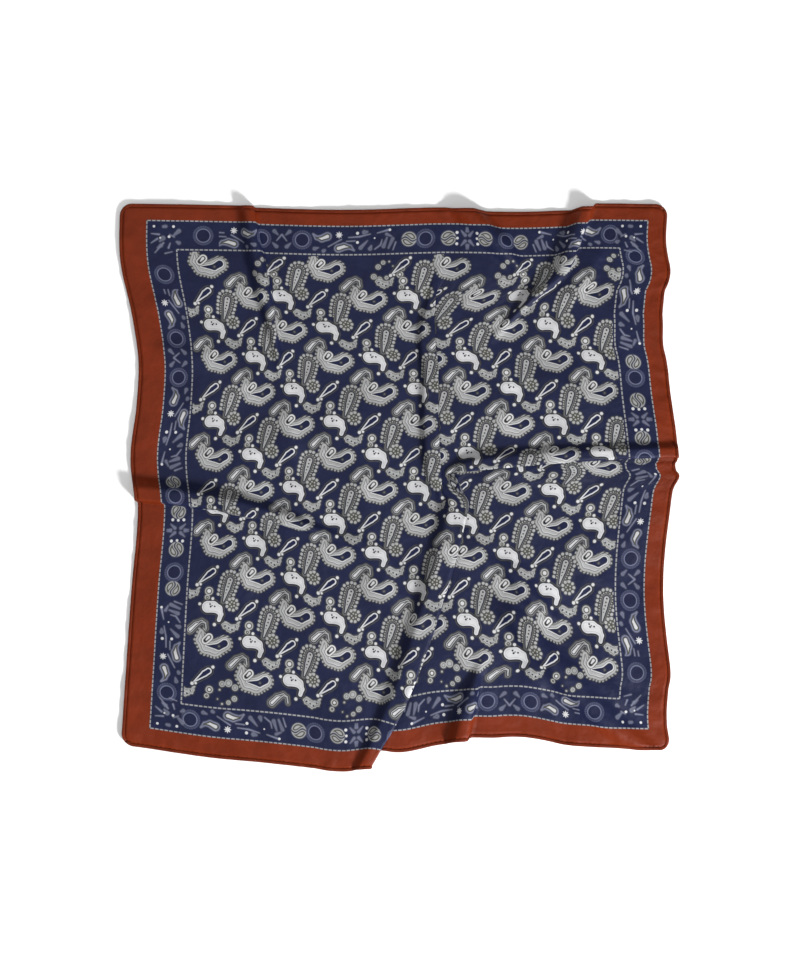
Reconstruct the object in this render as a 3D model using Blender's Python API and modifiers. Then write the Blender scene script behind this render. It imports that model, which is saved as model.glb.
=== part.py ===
"""A square printed silk neck scarf, laid flat with its folds, in metres, +Z up.

The scarf is one thin panel with a rolled hem along each side.  Its shape is worked out on the
flat cloth first: every fold is a row of FOLDS, and the cloth is carried over the folds at its
true length, so the outline is drawn in where the folds take the cloth up.
"""

import math
from typing import NamedTuple

import bmesh
import bpy
import numpy as np

# ---- Driving dimensions (metres) ----
CLOTH_WIDTH = 0.650           # cut of the hemmed cloth, left to right
CLOTH_LENGTH = 0.640          # cut of the hemmed cloth, top to bottom
WALL = 0.0010                 # thickness of the panel
HEM_ROLL = 0.0024             # width of the rolled hem
HEM_HEIGHT = 0.0018           # height of the rolled hem
SEAM_GAP = 0.0006             # gap between neighbouring pieces
HEM_SECTION = (               # the rolled hem's section: share of its width, share of its height
    (0.00, 0.25), (0.20, 0.00), (0.80, 0.00), (1.00, 0.35), (0.75, 1.00), (0.15, 0.90),
)
CORNER_RADIUS = 0.0110        # round corner of the panel, on the flat
RISE_BEND_RATIO = 2.5         # the rise of a fold bends this much softer than its drop
LEAST_WIDTH = 0.40            # a fold dies away by narrowing to this share, then by flattening
EDGE_WIDTH = 0.60             # least width of a fold at an edge of the cloth, as a share

# ---- Mesh of the panel ----
UPRIGHT_REACH = 0.036         # stretch with fine columns, each side of the upright pleats
LEVEL_REACH = 0.026           # stretch with fine rows, each side of the level pleats
RISE_STEP = 0.0070            # cell size across a pleat's rise
DROP_STEP = 0.0020            # cell size across a pleat's drop
OPEN_STEP = 0.0200            # cell size on the open cloth
PROFILE_STEP = 0.0002         # sampling of a fold's section along the cloth
PASSING = 0.012               # a fold that meets a pleat is whole this far past the pleat's drop


class Fold(NamedTuple):
    """One fold, placed on the flat cloth, seen from above.

    Walking from its start to its end, the shaded rise is on the right hand and the drop is on
    the left.  The cloth on the left is drawn in over the fold; the cloth on the right stays.
    """

    name: str
    start: tuple              # x, y of the start
    end: tuple                # x, y of the end
    bow: float                # how far the middle stands to the left of the straight line
    rise: float               # slope of the rise, degrees
    top: float                # level stretch on top
    drop: float               # slope of the drop, degrees; 180 is a tuck back under the top
    tuck: float               # straight stretch of the drop
    bend: float               # bend radius at the drop
    start_size: float         # size at the start and at the end, 1 is full
    end_size: float
    start_fade: float         # length over which the fold grows to full size, and dies away
    end_fade: float
    against: str              # the pleat that this one runs up against, or ""


FOLDS = (
    #    name             start             end               bow     rise  top    drop tuck   bend
    #    start_size end_size start_fade end_fade against
    Fold("upper_pleat", (0.046, 0.265), (0.038, -0.035), -0.013, 60, 0.012, 180, 0.012, 0.0016,
         0.0, 0.0, 0.110, 0.055, ""),
    Fold("lower_pleat", (0.068, 0.030), (-0.060, -0.335), 0.019, 45, 0.0170, 180, 0.0110, 0.0024,
         0.0, 0.55, 0.075, 0.200, ""),
    Fold("right_pleat", (0.335, 0.031), (0.060, 0.008), -0.005, 45, 0.010, 180, 0.004, 0.0021,
         0.70, 1.0, 0.270, 0.010, "lower_pleat"),
    Fold("left_fold", (-0.040, -0.078), (-0.340, -0.012), -0.012, 45, 0.010, 80, 0.009, 0.0020,
         0.0, 0.95, 0.170, 0.060, ""),
    Fold("top_left_fold", (-0.184, 0.330), (-0.150, 0.095), 0.004, 50, 0.006, 80, 0.008, 0.0018,
         0.87, 0.0, 0.060, 0.135, ""),
    Fold("top_right_fold", (0.222, 0.330), (0.118, 0.150), 0.014, 50, 0.006, 80, 0.009, 0.0018,
         1.0, 0.0, 0.050, 0.110, ""),
    Fold("top_middle_fold", (0.052, 0.335), (0.150, 0.225), 0.004, 40, 0.004, 45, 0.009, 0.0060,
         1.0, 0.0, 0.040, 0.085, ""),
    Fold("bottom_fold", (0.116, -0.215), (0.072, -0.335), 0.000, 50, 0.008, 80, 0.009, 0.0018,
         0.0, 1.0, 0.085, 0.040, ""),
    Fold("lower_right_fold", (0.292, -0.312), (0.108, -0.148), 0.006, 30, 0.006, 35, 0.007, 0.0080,
         0.63, 0.0, 0.060, 0.080, ""),
    Fold("inner_right_fold", (0.215, -0.196), (0.118, -0.108), 0.000, 30, 0.004, 35, 0.006, 0.0070,
         0.0, 0.0, 0.060, 0.060, ""),
)


class EdgeStand(NamedTuple):
    """How far an edge stands outward (inward where negative) at a place along its side."""

    along: float
    out: float


EDGE_REACH = 0.240            # an edge's own wave dies away this far inward
LEFT_EDGE = (
    EdgeStand(0.320, 0.0065), EdgeStand(0.254, 0.0060), EdgeStand(0.190, -0.0075),
    EdgeStand(0.137, -0.0145), EdgeStand(0.090, -0.0125), EdgeStand(0.030, -0.0055),
    EdgeStand(-0.035, -0.0110), EdgeStand(-0.130, -0.0040), EdgeStand(-0.320, 0.0080),
)
RIGHT_EDGE = (
    EdgeStand(0.320, -0.0100), EdgeStand(0.255, -0.0100), EdgeStand(0.200, -0.0020),
    EdgeStand(0.110, 0.0015), EdgeStand(0.045, 0.0100), EdgeStand(0.000, 0.0125),
    EdgeStand(-0.050, 0.0060), EdgeStand(-0.120, -0.0020), EdgeStand(-0.220, -0.0020),
    EdgeStand(-0.320, 0.0000),
)
TOP_EDGE = (
    EdgeStand(-0.320, -0.0040), EdgeStand(-0.200, -0.0060), EdgeStand(-0.060, -0.0095),
    EdgeStand(0.050, -0.0065), EdgeStand(0.140, -0.0075), EdgeStand(0.220, -0.0050),
    EdgeStand(0.320, -0.0060),
)
BOTTOM_EDGE = (
    EdgeStand(-0.320, -0.0110), EdgeStand(-0.200, 0.0060), EdgeStand(-0.130, 0.0075),
    EdgeStand(-0.080, 0.0065), EdgeStand(-0.045, 0.0030), EdgeStand(0.000, 0.0150),
    EdgeStand(0.055, 0.0060), EdgeStand(0.130, 0.0030), EdgeStand(0.200, 0.0100),
    EdgeStand(0.320, 0.0110),
)


class GuidePoint(NamedTuple):
    """A place on the flat cloth that a line of the mesh follows."""

    along: float
    across: float


UPRIGHT_GUIDE = (             # x of the upright pleats at a height y
    GuidePoint(-0.320, -0.052), GuidePoint(-0.200, 0.010), GuidePoint(-0.080, 0.052),
    GuidePoint(0.010, 0.050), GuidePoint(0.110, 0.028), GuidePoint(0.320, 0.036),
)
LEVEL_GUIDE = (               # y of the level pleats at a place x
    GuidePoint(-0.325, -0.014), GuidePoint(-0.200, -0.034), GuidePoint(-0.080, -0.050),
    GuidePoint(0.060, 0.000), GuidePoint(0.325, 0.029),
)

# ---- Finishes ----
SILK_COLOUR = (0.020, 0.026, 0.080, 1.0)
HEM_COLOUR = (0.200, 0.046, 0.018, 1.0)
HEM_NAMES = ("hem_bottom", "hem_right", "hem_top", "hem_left")    # in order round the panel
SILK_ROUGHNESS = 0.42


def smooth_step(value):
    """Rise softly from 0 to 1 as value goes from 0 to 1."""
    held = np.clip(value, 0.0, 1.0)
    return held * held * (3.0 - 2.0 * held)


def curve_through(rows, at):
    """Read a smooth curve through a short table of (along, height) rows."""
    table = np.array(sorted((row[0], row[1]) for row in rows))
    knots, heights = table[:, 0], table[:, 1]
    slopes = np.gradient(heights, knots)
    place = np.clip(at, knots[0], knots[-1])
    left = np.clip(np.searchsorted(knots, place, side="right") - 1, 0, len(knots) - 2)
    span = knots[left + 1] - knots[left]
    share = (place - knots[left]) / span
    rest = 1.0 - share
    return (heights[left] * rest * rest * (1.0 + 2.0 * share)
            + slopes[left] * span * share * rest * rest
            + heights[left + 1] * share * share * (3.0 - 2.0 * share)
            - slopes[left + 1] * span * share * share * rest)


def fold_section(fold):
    """Return the section across a fold: cloth length, height, length taken up, and its hidden end.

    The section is a chain of bends and straight stretches.  The rise is as long as it has to be
    for the cloth to come back down to where it started.
    """
    rise = math.radians(fold.rise)
    drop = math.radians(fold.drop)
    rise_bend = fold.bend * RISE_BEND_RATIO
    height = math.sin(drop) * fold.tuck + 2.0 * fold.bend * (1.0 - math.cos(drop))
    bends_rise = 2.0 * rise_bend * (1.0 - math.cos(rise))
    if bends_rise > height:
        rise_bend *= height / bends_rise
        bends_rise = height
    rise_run = (height - bends_rise) / math.sin(rise)
    stretches = (
        (0.0, rise, rise * rise_bend), (rise, rise, rise_run), (rise, 0.0, rise * rise_bend),
        (0.0, 0.0, fold.top),
        (0.0, -drop, drop * fold.bend), (-drop, -drop, fold.tuck), (-drop, 0.0, drop * fold.bend),
    )
    ends = np.cumsum([0.0] + [run for _, _, run in stretches])
    length = np.arange(0.0, ends[-1] + PROFILE_STEP, PROFILE_STEP)
    slope = np.zeros_like(length)
    for (first, last, run), begin in zip(stretches, ends):
        if run > 0.0:
            inside = (length >= begin) & (length <= begin + run)
            slope[inside] = first + (last - first) * (length[inside] - begin) / run
    step_up = np.sin(slope) * PROFILE_STEP
    rises = step_up[step_up > 0.0].sum()
    falls = -step_up[step_up < 0.0].sum()
    step_up = np.where(step_up < 0.0, step_up * rises / falls, step_up)
    lift = np.cumsum(step_up)
    taken = np.cumsum((1.0 - np.cos(slope)) * PROFILE_STEP)
    middle = ends[-1] / 2.0
    return length - middle, lift, taken, ends[4] - middle, ends[-1] - middle


def fold_frame(fold, x, y):
    """Return the distance along and across a fold's bowed line, its length and its left side."""
    start, end = np.array(fold.start), np.array(fold.end)
    length = float(np.hypot(*(end - start)))
    ahead = (end - start) / length
    left = np.array((-ahead[1], ahead[0]))
    main, other = (1, 0) if abs(ahead[1]) >= abs(ahead[0]) else (0, 1)
    place = (x, y)
    share = (place[main] - start[main]) / (end[main] - start[main])
    held = np.clip(share, 0.0, 1.0)
    line = start[other] + (end[other] - start[other]) * share
    across = (place[other] - line) * left[other] - 4.0 * fold.bow * held * (1.0 - held)
    return share * length, across, length, left


def fold_size(fold, along, length, met):
    """Return a fold's width and steepness along its line, as shares of its full ones.

    Towards an end inside the cloth it narrows first and then flattens; towards an end at an edge
    it hardly narrows, so that the edge runs on smoothly.  met is its share beside another pleat.
    """
    grown = smooth_step(along / fold.start_fade)
    left_over = smooth_step((length - along) / fold.end_fade)
    width, size = np.maximum(met, LEAST_WIDTH), met
    for at_end, fade in ((fold.start_size, grown), (fold.end_size, left_over)):
        share = at_end + (1.0 - at_end) * fade
        width = width * np.maximum(share, EDGE_WIDTH if at_end > 0.0 else LEAST_WIDTH)
        size = size * share
    return width, size / width


def drop_share(fold, x, y):
    """Return 0 on a pleat's rise side and 1 past its drop, with the change across its drop."""
    _, across, _, _ = fold_frame(fold, x, y)
    _, _, _, drop_begins, drop_ends = fold_section(fold)
    return smooth_step((across - drop_begins) / (drop_ends + PASSING - drop_begins))


def lay_cloth(x, y):
    """Carry flat cloth points over the folds; return their x, y and height."""
    by_name = {fold.name: fold for fold in FOLDS}
    laid_x, laid_y = x.copy(), y.copy()
    height = np.zeros_like(x)
    for fold in FOLDS:
        along, across, length, left = fold_frame(fold, x, y)
        met = 1.0
        if fold.against:
            met = np.sqrt(drop_share(by_name[fold.against], x, y))
        width, steepness = fold_size(fold, along, length, met)
        section, lift, taken, _, _ = fold_section(fold)
        height += width * steepness * np.interp(across / width, section, lift, left=0.0, right=0.0)
        pull = width * steepness ** 2 * np.interp(across / width, section, taken)
        laid_x -= pull * left[0]
        laid_y -= pull * left[1]
    return laid_x, laid_y, height


def wave_edges(x, y, laid_x, laid_y):
    """Move the cloth near each edge in or out by that edge's table."""
    half_x, half_y = CLOTH_WIDTH / 2.0, CLOTH_LENGTH / 2.0
    near_left = smooth_step(1.0 - (x + half_x) / EDGE_REACH)
    near_right = smooth_step(1.0 - (half_x - x) / EDGE_REACH)
    near_top = smooth_step(1.0 - (half_y - y) / EDGE_REACH)
    near_bottom = smooth_step(1.0 - (y + half_y) / EDGE_REACH)
    out_x = near_right * curve_through(RIGHT_EDGE, y) - near_left * curve_through(LEFT_EDGE, y)
    out_y = near_top * curve_through(TOP_EDGE, x) - near_bottom * curve_through(BOTTOM_EDGE, x)
    return laid_x + out_x, laid_y + out_y


def round_corners(x, y, half_x, half_y):
    """Bring the corner cells of a flat rectangle onto round corners."""
    over_x = np.clip((np.abs(x) - (half_x - CORNER_RADIUS)) / CORNER_RADIUS, 0.0, 1.0)
    over_y = np.clip((np.abs(y) - (half_y - CORNER_RADIUS)) / CORNER_RADIUS, 0.0, 1.0)
    in_x = over_x * (1.0 - np.sqrt(1.0 - over_y ** 2 / 2.0)) * CORNER_RADIUS
    in_y = over_y * (1.0 - np.sqrt(1.0 - over_x ** 2 / 2.0)) * CORNER_RADIUS
    return x - np.sign(x) * in_x, y - np.sign(y) * in_y


def stations(half, reach):
    """Return mesh stations from -half to half: rises on the negative side, drops on the other."""
    corner = np.array((half - CORNER_RADIUS / 2.0, half))
    sides = []
    for step in (RISE_STEP, DROP_STEP):
        fine = np.linspace(0.0, reach, round(reach / step) + 1)[1:]
        corner_begins = half - CORNER_RADIUS
        cells = round((corner_begins - reach) / OPEN_STEP)
        open_cloth = np.linspace(reach, corner_begins, cells + 1)[1:]
        sides.append(np.concatenate((fine, open_cloth, corner)))
    rise_side, drop_side = sides
    return np.concatenate((-rise_side[::-1], (0.0,), drop_side))


def flat_grid():
    """Return the flat x, y of the panel's mesh, whose lines follow the main pleats.

    The upright pleats drop towards the right and the level ones towards the bottom.
    """
    half_x = CLOTH_WIDTH / 2.0 - HEM_ROLL - SEAM_GAP
    half_y = CLOTH_LENGTH / 2.0 - HEM_ROLL - SEAM_GAP
    columns = stations(half_x, UPRIGHT_REACH)
    rows = -stations(half_y, LEVEL_REACH)[::-1]
    across, along = np.meshgrid(columns, rows)
    hold_x = np.clip(1.0 - np.abs(across) / (half_x - CORNER_RADIUS), 0.0, 1.0)
    hold_y = np.clip(1.0 - np.abs(along) / (half_y - CORNER_RADIUS), 0.0, 1.0)
    x = across + hold_x * curve_through(UPRIGHT_GUIDE, along)
    y = along + hold_y * curve_through(LEVEL_GUIDE, x)
    return np.stack(round_corners(x, y, half_x, half_y), axis=-1)


def laid_points(flat):
    """Return the top of the laid cloth above flat points, as an array of x, y, z."""
    x, y = flat[..., 0], flat[..., 1]
    laid_x, laid_y, height = lay_cloth(x, y)
    laid_x, laid_y = wave_edges(x, y, laid_x, laid_y)
    return np.stack((laid_x, laid_y, height + WALL), axis=-1)


def unit(vectors):
    """Scale vectors to length 1."""
    return vectors / np.linalg.norm(vectors, axis=-1, keepdims=True)


def flat_outward(run):
    """Return the directions that lead out of the flat cloth along a side, walked anticlockwise.

    At a corner the direction halves the two sides, so both of its hems end on the same line.
    """
    ahead = unit(np.gradient(run, axis=0))
    outward = np.column_stack((ahead[:, 1], -ahead[:, 0]))
    for corner in (0, -1):
        outward[corner] = unit(np.sign(run[corner]))
    return outward


def silk(name, colour):
    """Make a plain silk material."""
    material = bpy.data.materials.new(name)
    material.use_nodes = True
    shader = material.node_tree.nodes["Principled BSDF"]
    shader.inputs["Base Color"].default_value = colour
    shader.inputs["Roughness"].default_value = SILK_ROUGHNESS
    shader.inputs["Metallic"].default_value = 0.0
    return material


def add_object(name, bm, material, collection):
    """Turn a bmesh into a named object in the collection."""
    mesh = bpy.data.meshes.new(name)
    bm.to_mesh(mesh)
    bm.free()
    mesh.materials.append(material)
    item = bpy.data.objects.new(name, mesh)
    collection.objects.link(item)
    return item


def build_panel(points, material, collection):
    """Build the panel: an open laid surface, given its wall downward."""
    rows, columns = points.shape[:2]
    bm = bmesh.new()
    grid = [[bm.verts.new(points[i, j]) for j in range(columns)] for i in range(rows)]
    for i in range(rows - 1):
        for j in range(columns - 1):
            bm.faces.new((grid[i][j], grid[i][j + 1], grid[i + 1][j + 1], grid[i + 1][j]))
    bmesh.ops.triangulate(bm, faces=bm.faces[:])
    panel = add_object("scarf_panel", bm, material, collection)
    panel.data.shade_smooth()
    wall = panel.modifiers.new("Wall", "SOLIDIFY")
    wall.thickness = WALL
    wall.offset = -1.0
    return panel


def hem_rings(run):
    """Return the rings of the hem beyond a flat run of the panel's edge.

    Each ring is a flat-bottomed section on the laid cloth carried on past its edge.
    """
    outward = flat_outward(run)
    seam = laid_points(run + outward * SEAM_GAP)
    rim = laid_points(run + outward * (SEAM_GAP + HEM_ROLL))
    up = unit(np.cross(rim - seam, np.gradient(seam, axis=0)))
    rings = [
        laid_points(run + outward * (SEAM_GAP + width_share * HEM_ROLL))
        + up * (height_share * HEM_HEIGHT - WALL)
        for width_share, height_share in HEM_SECTION
    ]
    rings = np.stack(rings, axis=1)
    for corner, turn in ((0, 1.0), (-1, -1.0)):
        inward = turn * np.array((-outward[corner, 1], outward[corner, 0]))
        rings[corner, :, :2] += inward * SEAM_GAP
    return rings


def build_hem(name, rings, material, collection):
    """Build one side's rolled hem as a closed tube through its rings."""
    bm = bmesh.new()
    loops = [[bm.verts.new(point) for point in ring] for ring in rings]
    sides = len(HEM_SECTION)
    for first, second in zip(loops, loops[1:]):
        for k in range(sides):
            after = (k + 1) % sides
            bm.faces.new((first[k], first[after], second[after], second[k]))
    bm.faces.new(loops[0][::-1])
    bm.faces.new(loops[-1])
    bmesh.ops.recalc_face_normals(bm, faces=bm.faces[:])
    bmesh.ops.triangulate(bm, faces=bm.faces[:])
    return add_object(name, bm, material, collection)


def main():
    """Clear the scene and build the scarf."""
    for item in list(bpy.data.objects):
        bpy.data.objects.remove(item)
    collection = bpy.data.collections.new("neck_scarf")
    bpy.context.scene.collection.children.link(collection)
    flat = flat_grid()
    points = laid_points(flat)
    hems = {name: hem_rings(np.rot90(flat, quarter)[0]) for quarter, name in enumerate(HEM_NAMES)}
    level = np.concatenate([rings[..., :2].reshape(-1, 2) for rings in hems.values()])
    centre = (level.min(axis=0) + level.max(axis=0)) / 2.0
    for place in (points, *hems.values()):
        place[..., :2] -= centre
    build_panel(points, silk("printed_silk", SILK_COLOUR), collection)
    hem_silk = silk("hem_silk", HEM_COLOUR)
    for name, rings in hems.items():
        build_hem(name, rings, hem_silk, collection)


main()
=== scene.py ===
"""The looks of a square printed silk neck scarf, laid flat with its folds, in metres, +Z up.

The printed panel and its rolled hems are fine meshes on the frame's solids.  The panel is worked
out on the flat cloth first and then carried over its folds, so its UV map is the flat cloth and
the print is taken up by the folds as real cloth takes it up.
"""

import logging
import math
from dataclasses import dataclass
from enum import Enum
from functools import reduce
from typing import Callable, Iterable, NamedTuple, Sequence, TypeVar, Union

import bpy
import numpy as np
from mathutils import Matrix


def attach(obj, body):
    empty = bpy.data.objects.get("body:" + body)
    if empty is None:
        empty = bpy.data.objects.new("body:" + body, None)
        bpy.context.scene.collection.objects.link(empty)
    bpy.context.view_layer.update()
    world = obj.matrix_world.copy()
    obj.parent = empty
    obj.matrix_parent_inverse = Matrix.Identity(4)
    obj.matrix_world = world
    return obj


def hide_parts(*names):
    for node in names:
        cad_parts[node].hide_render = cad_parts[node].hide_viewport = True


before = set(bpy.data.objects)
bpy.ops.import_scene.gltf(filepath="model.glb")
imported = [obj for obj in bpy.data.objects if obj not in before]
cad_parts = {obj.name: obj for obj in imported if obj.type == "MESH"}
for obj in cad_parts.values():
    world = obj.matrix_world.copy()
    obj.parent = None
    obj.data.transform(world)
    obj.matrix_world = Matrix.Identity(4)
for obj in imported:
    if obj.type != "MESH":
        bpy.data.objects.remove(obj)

LOG = logging.getLogger("neck_scarf")
BODY = "root"
SIDES = ("bottom", "right", "top", "left")   # in quarter turns from the bottom
MILLIMETRE = 0.001

# ---- The cloth (metres) ----
CLOTH_WIDTH = 0.650           # cut of the hemmed cloth, left to right
CLOTH_LENGTH = 0.640          # cut of the hemmed cloth, top to bottom
SOLID_WALL = 0.0010           # wall of the panel's solid
SILK_WALL = 0.0004            # wall of the silk as shown
HEM_ROLL = 0.0024             # width of the rolled hem
HEM_HEIGHT = 0.0018           # height of the rolled hem
SEAM_GAP = 0.0006             # gap between the solids of panel and hem
SEAM_LAP = 0.0010             # how far inward the hem as shown reaches past its solid
CORNER_RADIUS = 0.0110        # round corner of the panel, on the flat
RISE_BEND_RATIO = 2.5         # the rise of a fold bends this much softer than its drop
LEAST_WIDTH = 0.40            # a fold dies away by narrowing to this share, then by flattening
EDGE_WIDTH = 0.60             # least width of a fold at an edge of the cloth, as a share
PASSING = 0.012               # a fold that meets a pleat is whole this far past the pleat's drop
PROFILE_STEP = 0.0001         # sampling of a fold's section along the cloth
EDGE_REACH = 0.240            # an edge's own wave dies away this far inward

# ---- Mesh of the panel (metres) ----
UPRIGHT_REACH = 0.036         # stretch with fine columns, each side of the upright pleats
LEVEL_REACH = 0.026           # stretch with fine rows, each side of the level pleats
RISE_STEP = 0.0024            # cell size across a pleat's rise
DROP_STEP = 0.0011            # cell size across a pleat's drop
OPEN_STEP = 0.0036            # cell size on the open cloth

Place = tuple[float, float]
Point = tuple[float, float, float]
Span = tuple[float, float]    # the least and the most of a size
Pair = tuple[np.ndarray, np.ndarray]
Row = TypeVar("Row")


def table(kind: Callable[..., Row], *rows: tuple) -> tuple[Row, ...]:
    """Make a table of rows of one kind."""
    return tuple(kind(*row) for row in rows)


class Fold(NamedTuple):
    """One fold, placed on the flat cloth, seen from above.

    Walking from its start to its end, the shaded rise is on the right hand and the drop is on
    the left.  The cloth on the left is drawn in over the fold; the cloth on the right stays.
    """

    name: str
    start: Place
    end: Place
    bow: float                # how far the middle stands to the left of the straight line
    rise: float               # slope of the rise, degrees
    top: float                # level stretch on top
    drop: float               # slope of the drop, degrees; 180 is a tuck back under the top
    tuck: float               # straight stretch of the drop
    bend: float               # bend radius at the drop
    start_size: float         # size at the start and at the end, 1 is full
    end_size: float
    start_fade: float         # length over which the fold grows to full size, and dies away
    end_fade: float
    against: str              # the pleat that this one runs up against, or ""


FOLDS = table(
    Fold,
    # name, start, end, bow, rise, top, drop, tuck, bend,
    # start_size, end_size, start_fade, end_fade, against
    ("upper_pleat", (0.046, 0.265), (0.038, -0.035), -0.013, 60, 0.012, 180, 0.012, 0.0016,
     0.0, 0.0, 0.110, 0.055, ""),
    ("lower_pleat", (0.068, 0.030), (-0.060, -0.335), 0.019, 45, 0.0170, 180, 0.0110, 0.0024,
     0.0, 0.55, 0.075, 0.200, ""),
    ("right_pleat", (0.335, 0.031), (0.060, 0.008), -0.005, 45, 0.010, 180, 0.004, 0.0021,
     0.70, 1.0, 0.270, 0.010, "lower_pleat"),
    ("left_fold", (-0.040, -0.078), (-0.340, -0.012), -0.012, 45, 0.010, 80, 0.009, 0.0020,
     0.0, 0.95, 0.170, 0.060, ""),
    ("top_left_fold", (-0.184, 0.330), (-0.150, 0.095), 0.004, 50, 0.006, 80, 0.008, 0.0018,
     0.87, 0.0, 0.060, 0.135, ""),
    ("top_right_fold", (0.222, 0.330), (0.118, 0.150), 0.014, 50, 0.006, 80, 0.009, 0.0018,
     1.0, 0.0, 0.050, 0.110, ""),
    ("top_middle_fold", (0.052, 0.335), (0.150, 0.225), 0.004, 40, 0.004, 45, 0.009, 0.0060,
     1.0, 0.0, 0.040, 0.085, ""),
    ("bottom_fold", (0.116, -0.215), (0.072, -0.335), 0.000, 50, 0.008, 80, 0.009, 0.0018,
     0.0, 1.0, 0.085, 0.040, ""),
    ("lower_right_fold", (0.292, -0.312), (0.108, -0.148), 0.006, 30, 0.006, 35, 0.007, 0.0080,
     0.63, 0.0, 0.060, 0.080, ""),
    ("inner_right_fold", (0.215, -0.196), (0.118, -0.108), 0.000, 30, 0.004, 35, 0.006, 0.0070,
     0.0, 0.0, 0.060, 0.060, ""),
)


class Knot(NamedTuple):
    """A place along a line, and how far aside a smooth curve stands there."""

    along: float
    aside: float


# How far each edge stands outward (inward where negative) along its side.
LEFT_EDGE = table(
    Knot, (0.320, 0.0065), (0.254, 0.0060), (0.190, -0.0075), (0.137, -0.0145),
    (0.090, -0.0125), (0.030, -0.0055), (-0.035, -0.0110), (-0.130, -0.0040), (-0.320, 0.0080))
RIGHT_EDGE = table(
    Knot, (0.320, -0.0100), (0.255, -0.0100), (0.200, -0.0020), (0.110, 0.0015),
    (0.045, 0.0100), (0.000, 0.0125), (-0.050, 0.0060), (-0.120, -0.0020), (-0.220, -0.0020),
    (-0.320, 0.0000))
TOP_EDGE = table(
    Knot, (-0.320, -0.0040), (-0.200, -0.0060), (-0.060, -0.0095), (0.050, -0.0065),
    (0.140, -0.0075), (0.220, -0.0050), (0.320, -0.0060))
BOTTOM_EDGE = table(
    Knot, (-0.320, -0.0110), (-0.200, 0.0060), (-0.130, 0.0075), (-0.080, 0.0065),
    (-0.045, 0.0030), (0.000, 0.0150), (0.055, 0.0060), (0.130, 0.0030), (0.200, 0.0100),
    (0.320, 0.0110))

# Lines on the flat cloth that the mesh follows.
UPRIGHT_GUIDE = table(        # x of the upright pleats at a height y
    Knot, (-0.320, -0.052), (-0.200, 0.010), (-0.080, 0.052), (0.010, 0.050),
    (0.110, 0.028), (0.320, 0.036))
LEVEL_GUIDE = table(          # y of the level pleats at a place x
    Knot, (-0.325, -0.014), (-0.200, -0.034), (-0.080, -0.050), (0.060, 0.000),
    (0.325, 0.029))


class Crease(NamedTuple):
    """A soft ridge (or trough where its height is negative) placed on the laid cloth."""

    start: Place
    end: Place
    bow: float                # how far its middle stands to the left of the straight line
    height: float
    left_width: float         # how far it reaches to its left and to its right
    right_width: float
    start_fade: float
    end_fade: float


CREASES = table(
    Crease,
    # start, end, bow, height, left_width, right_width, start_fade, end_fade
    ((-0.300, 0.155), (-0.200, 0.125), 0.006, 0.0030, 0.009, 0.018, 0.020, 0.060),
    ((-0.305, 0.208), (-0.245, 0.196), 0.002, 0.0022, 0.007, 0.013, 0.015, 0.035),
    ((-0.150, 0.120), (-0.132, 0.000), 0.004, 0.0032, 0.010, 0.020, 0.045, 0.060),
    ((0.215, 0.275), (0.165, 0.190), 0.004, 0.0026, 0.010, 0.018, 0.030, 0.040),
    ((-0.085, -0.055), (-0.005, -0.105), 0.004, 0.0030, 0.008, 0.018, 0.030, 0.040),
    ((-0.050, -0.095), (-0.020, -0.140), 0.002, 0.0024, 0.008, 0.014, 0.020, 0.030),
    ((0.125, -0.200), (0.150, -0.245), 0.002, 0.0026, 0.010, 0.015, 0.020, 0.030),
    ((0.207, -0.213), (0.245, -0.268), 0.003, 0.0030, 0.010, 0.016, 0.025, 0.035),
    ((0.100, -0.020), (0.250, -0.155), 0.010, 0.0022, 0.014, 0.030, 0.050, 0.070),
    ((0.020, 0.300), (0.040, 0.240), 0.000, 0.0020, 0.010, 0.018, 0.020, 0.030),
    ((-0.240, -0.060), (-0.180, -0.150), 0.010, 0.0016, 0.020, 0.035, 0.040, 0.060),
    ((0.130, 0.120), (0.240, 0.075), 0.008, 0.0018, 0.016, 0.030, 0.040, 0.050),
)


def smooth_step(value: np.ndarray) -> np.ndarray:
    """Rise softly from 0 to 1 as value goes from 0 to 1."""
    held = np.clip(value, 0.0, 1.0)
    return held * held * (3.0 - 2.0 * held)


def unit(vectors: np.ndarray) -> np.ndarray:
    """Scale vectors to length 1."""
    return vectors / np.linalg.norm(vectors, axis=-1, keepdims=True)


def curve_through(knots: Sequence[Knot], at: np.ndarray) -> np.ndarray:
    """Read a smooth curve through a short table.

    Args:
        knots: The table.
        at: Places to read.

    Returns:
        How far aside the curve stands at each place, held level past the table's ends.
    """
    places, heights = np.array(sorted(knots)).T
    slopes = np.gradient(heights, places)
    place = np.clip(at, places[0], places[-1])
    left = np.clip(np.searchsorted(places, place, side="right") - 1, 0, len(places) - 2)
    span = places[left + 1] - places[left]
    share = (place - places[left]) / span
    rest = 1.0 - share
    return (heights[left] * rest * rest * (1.0 + 2.0 * share)
            + slopes[left] * span * share * rest * rest
            + heights[left + 1] * share * share * (3.0 - 2.0 * share)
            - slopes[left + 1] * span * share * share * rest)


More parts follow.
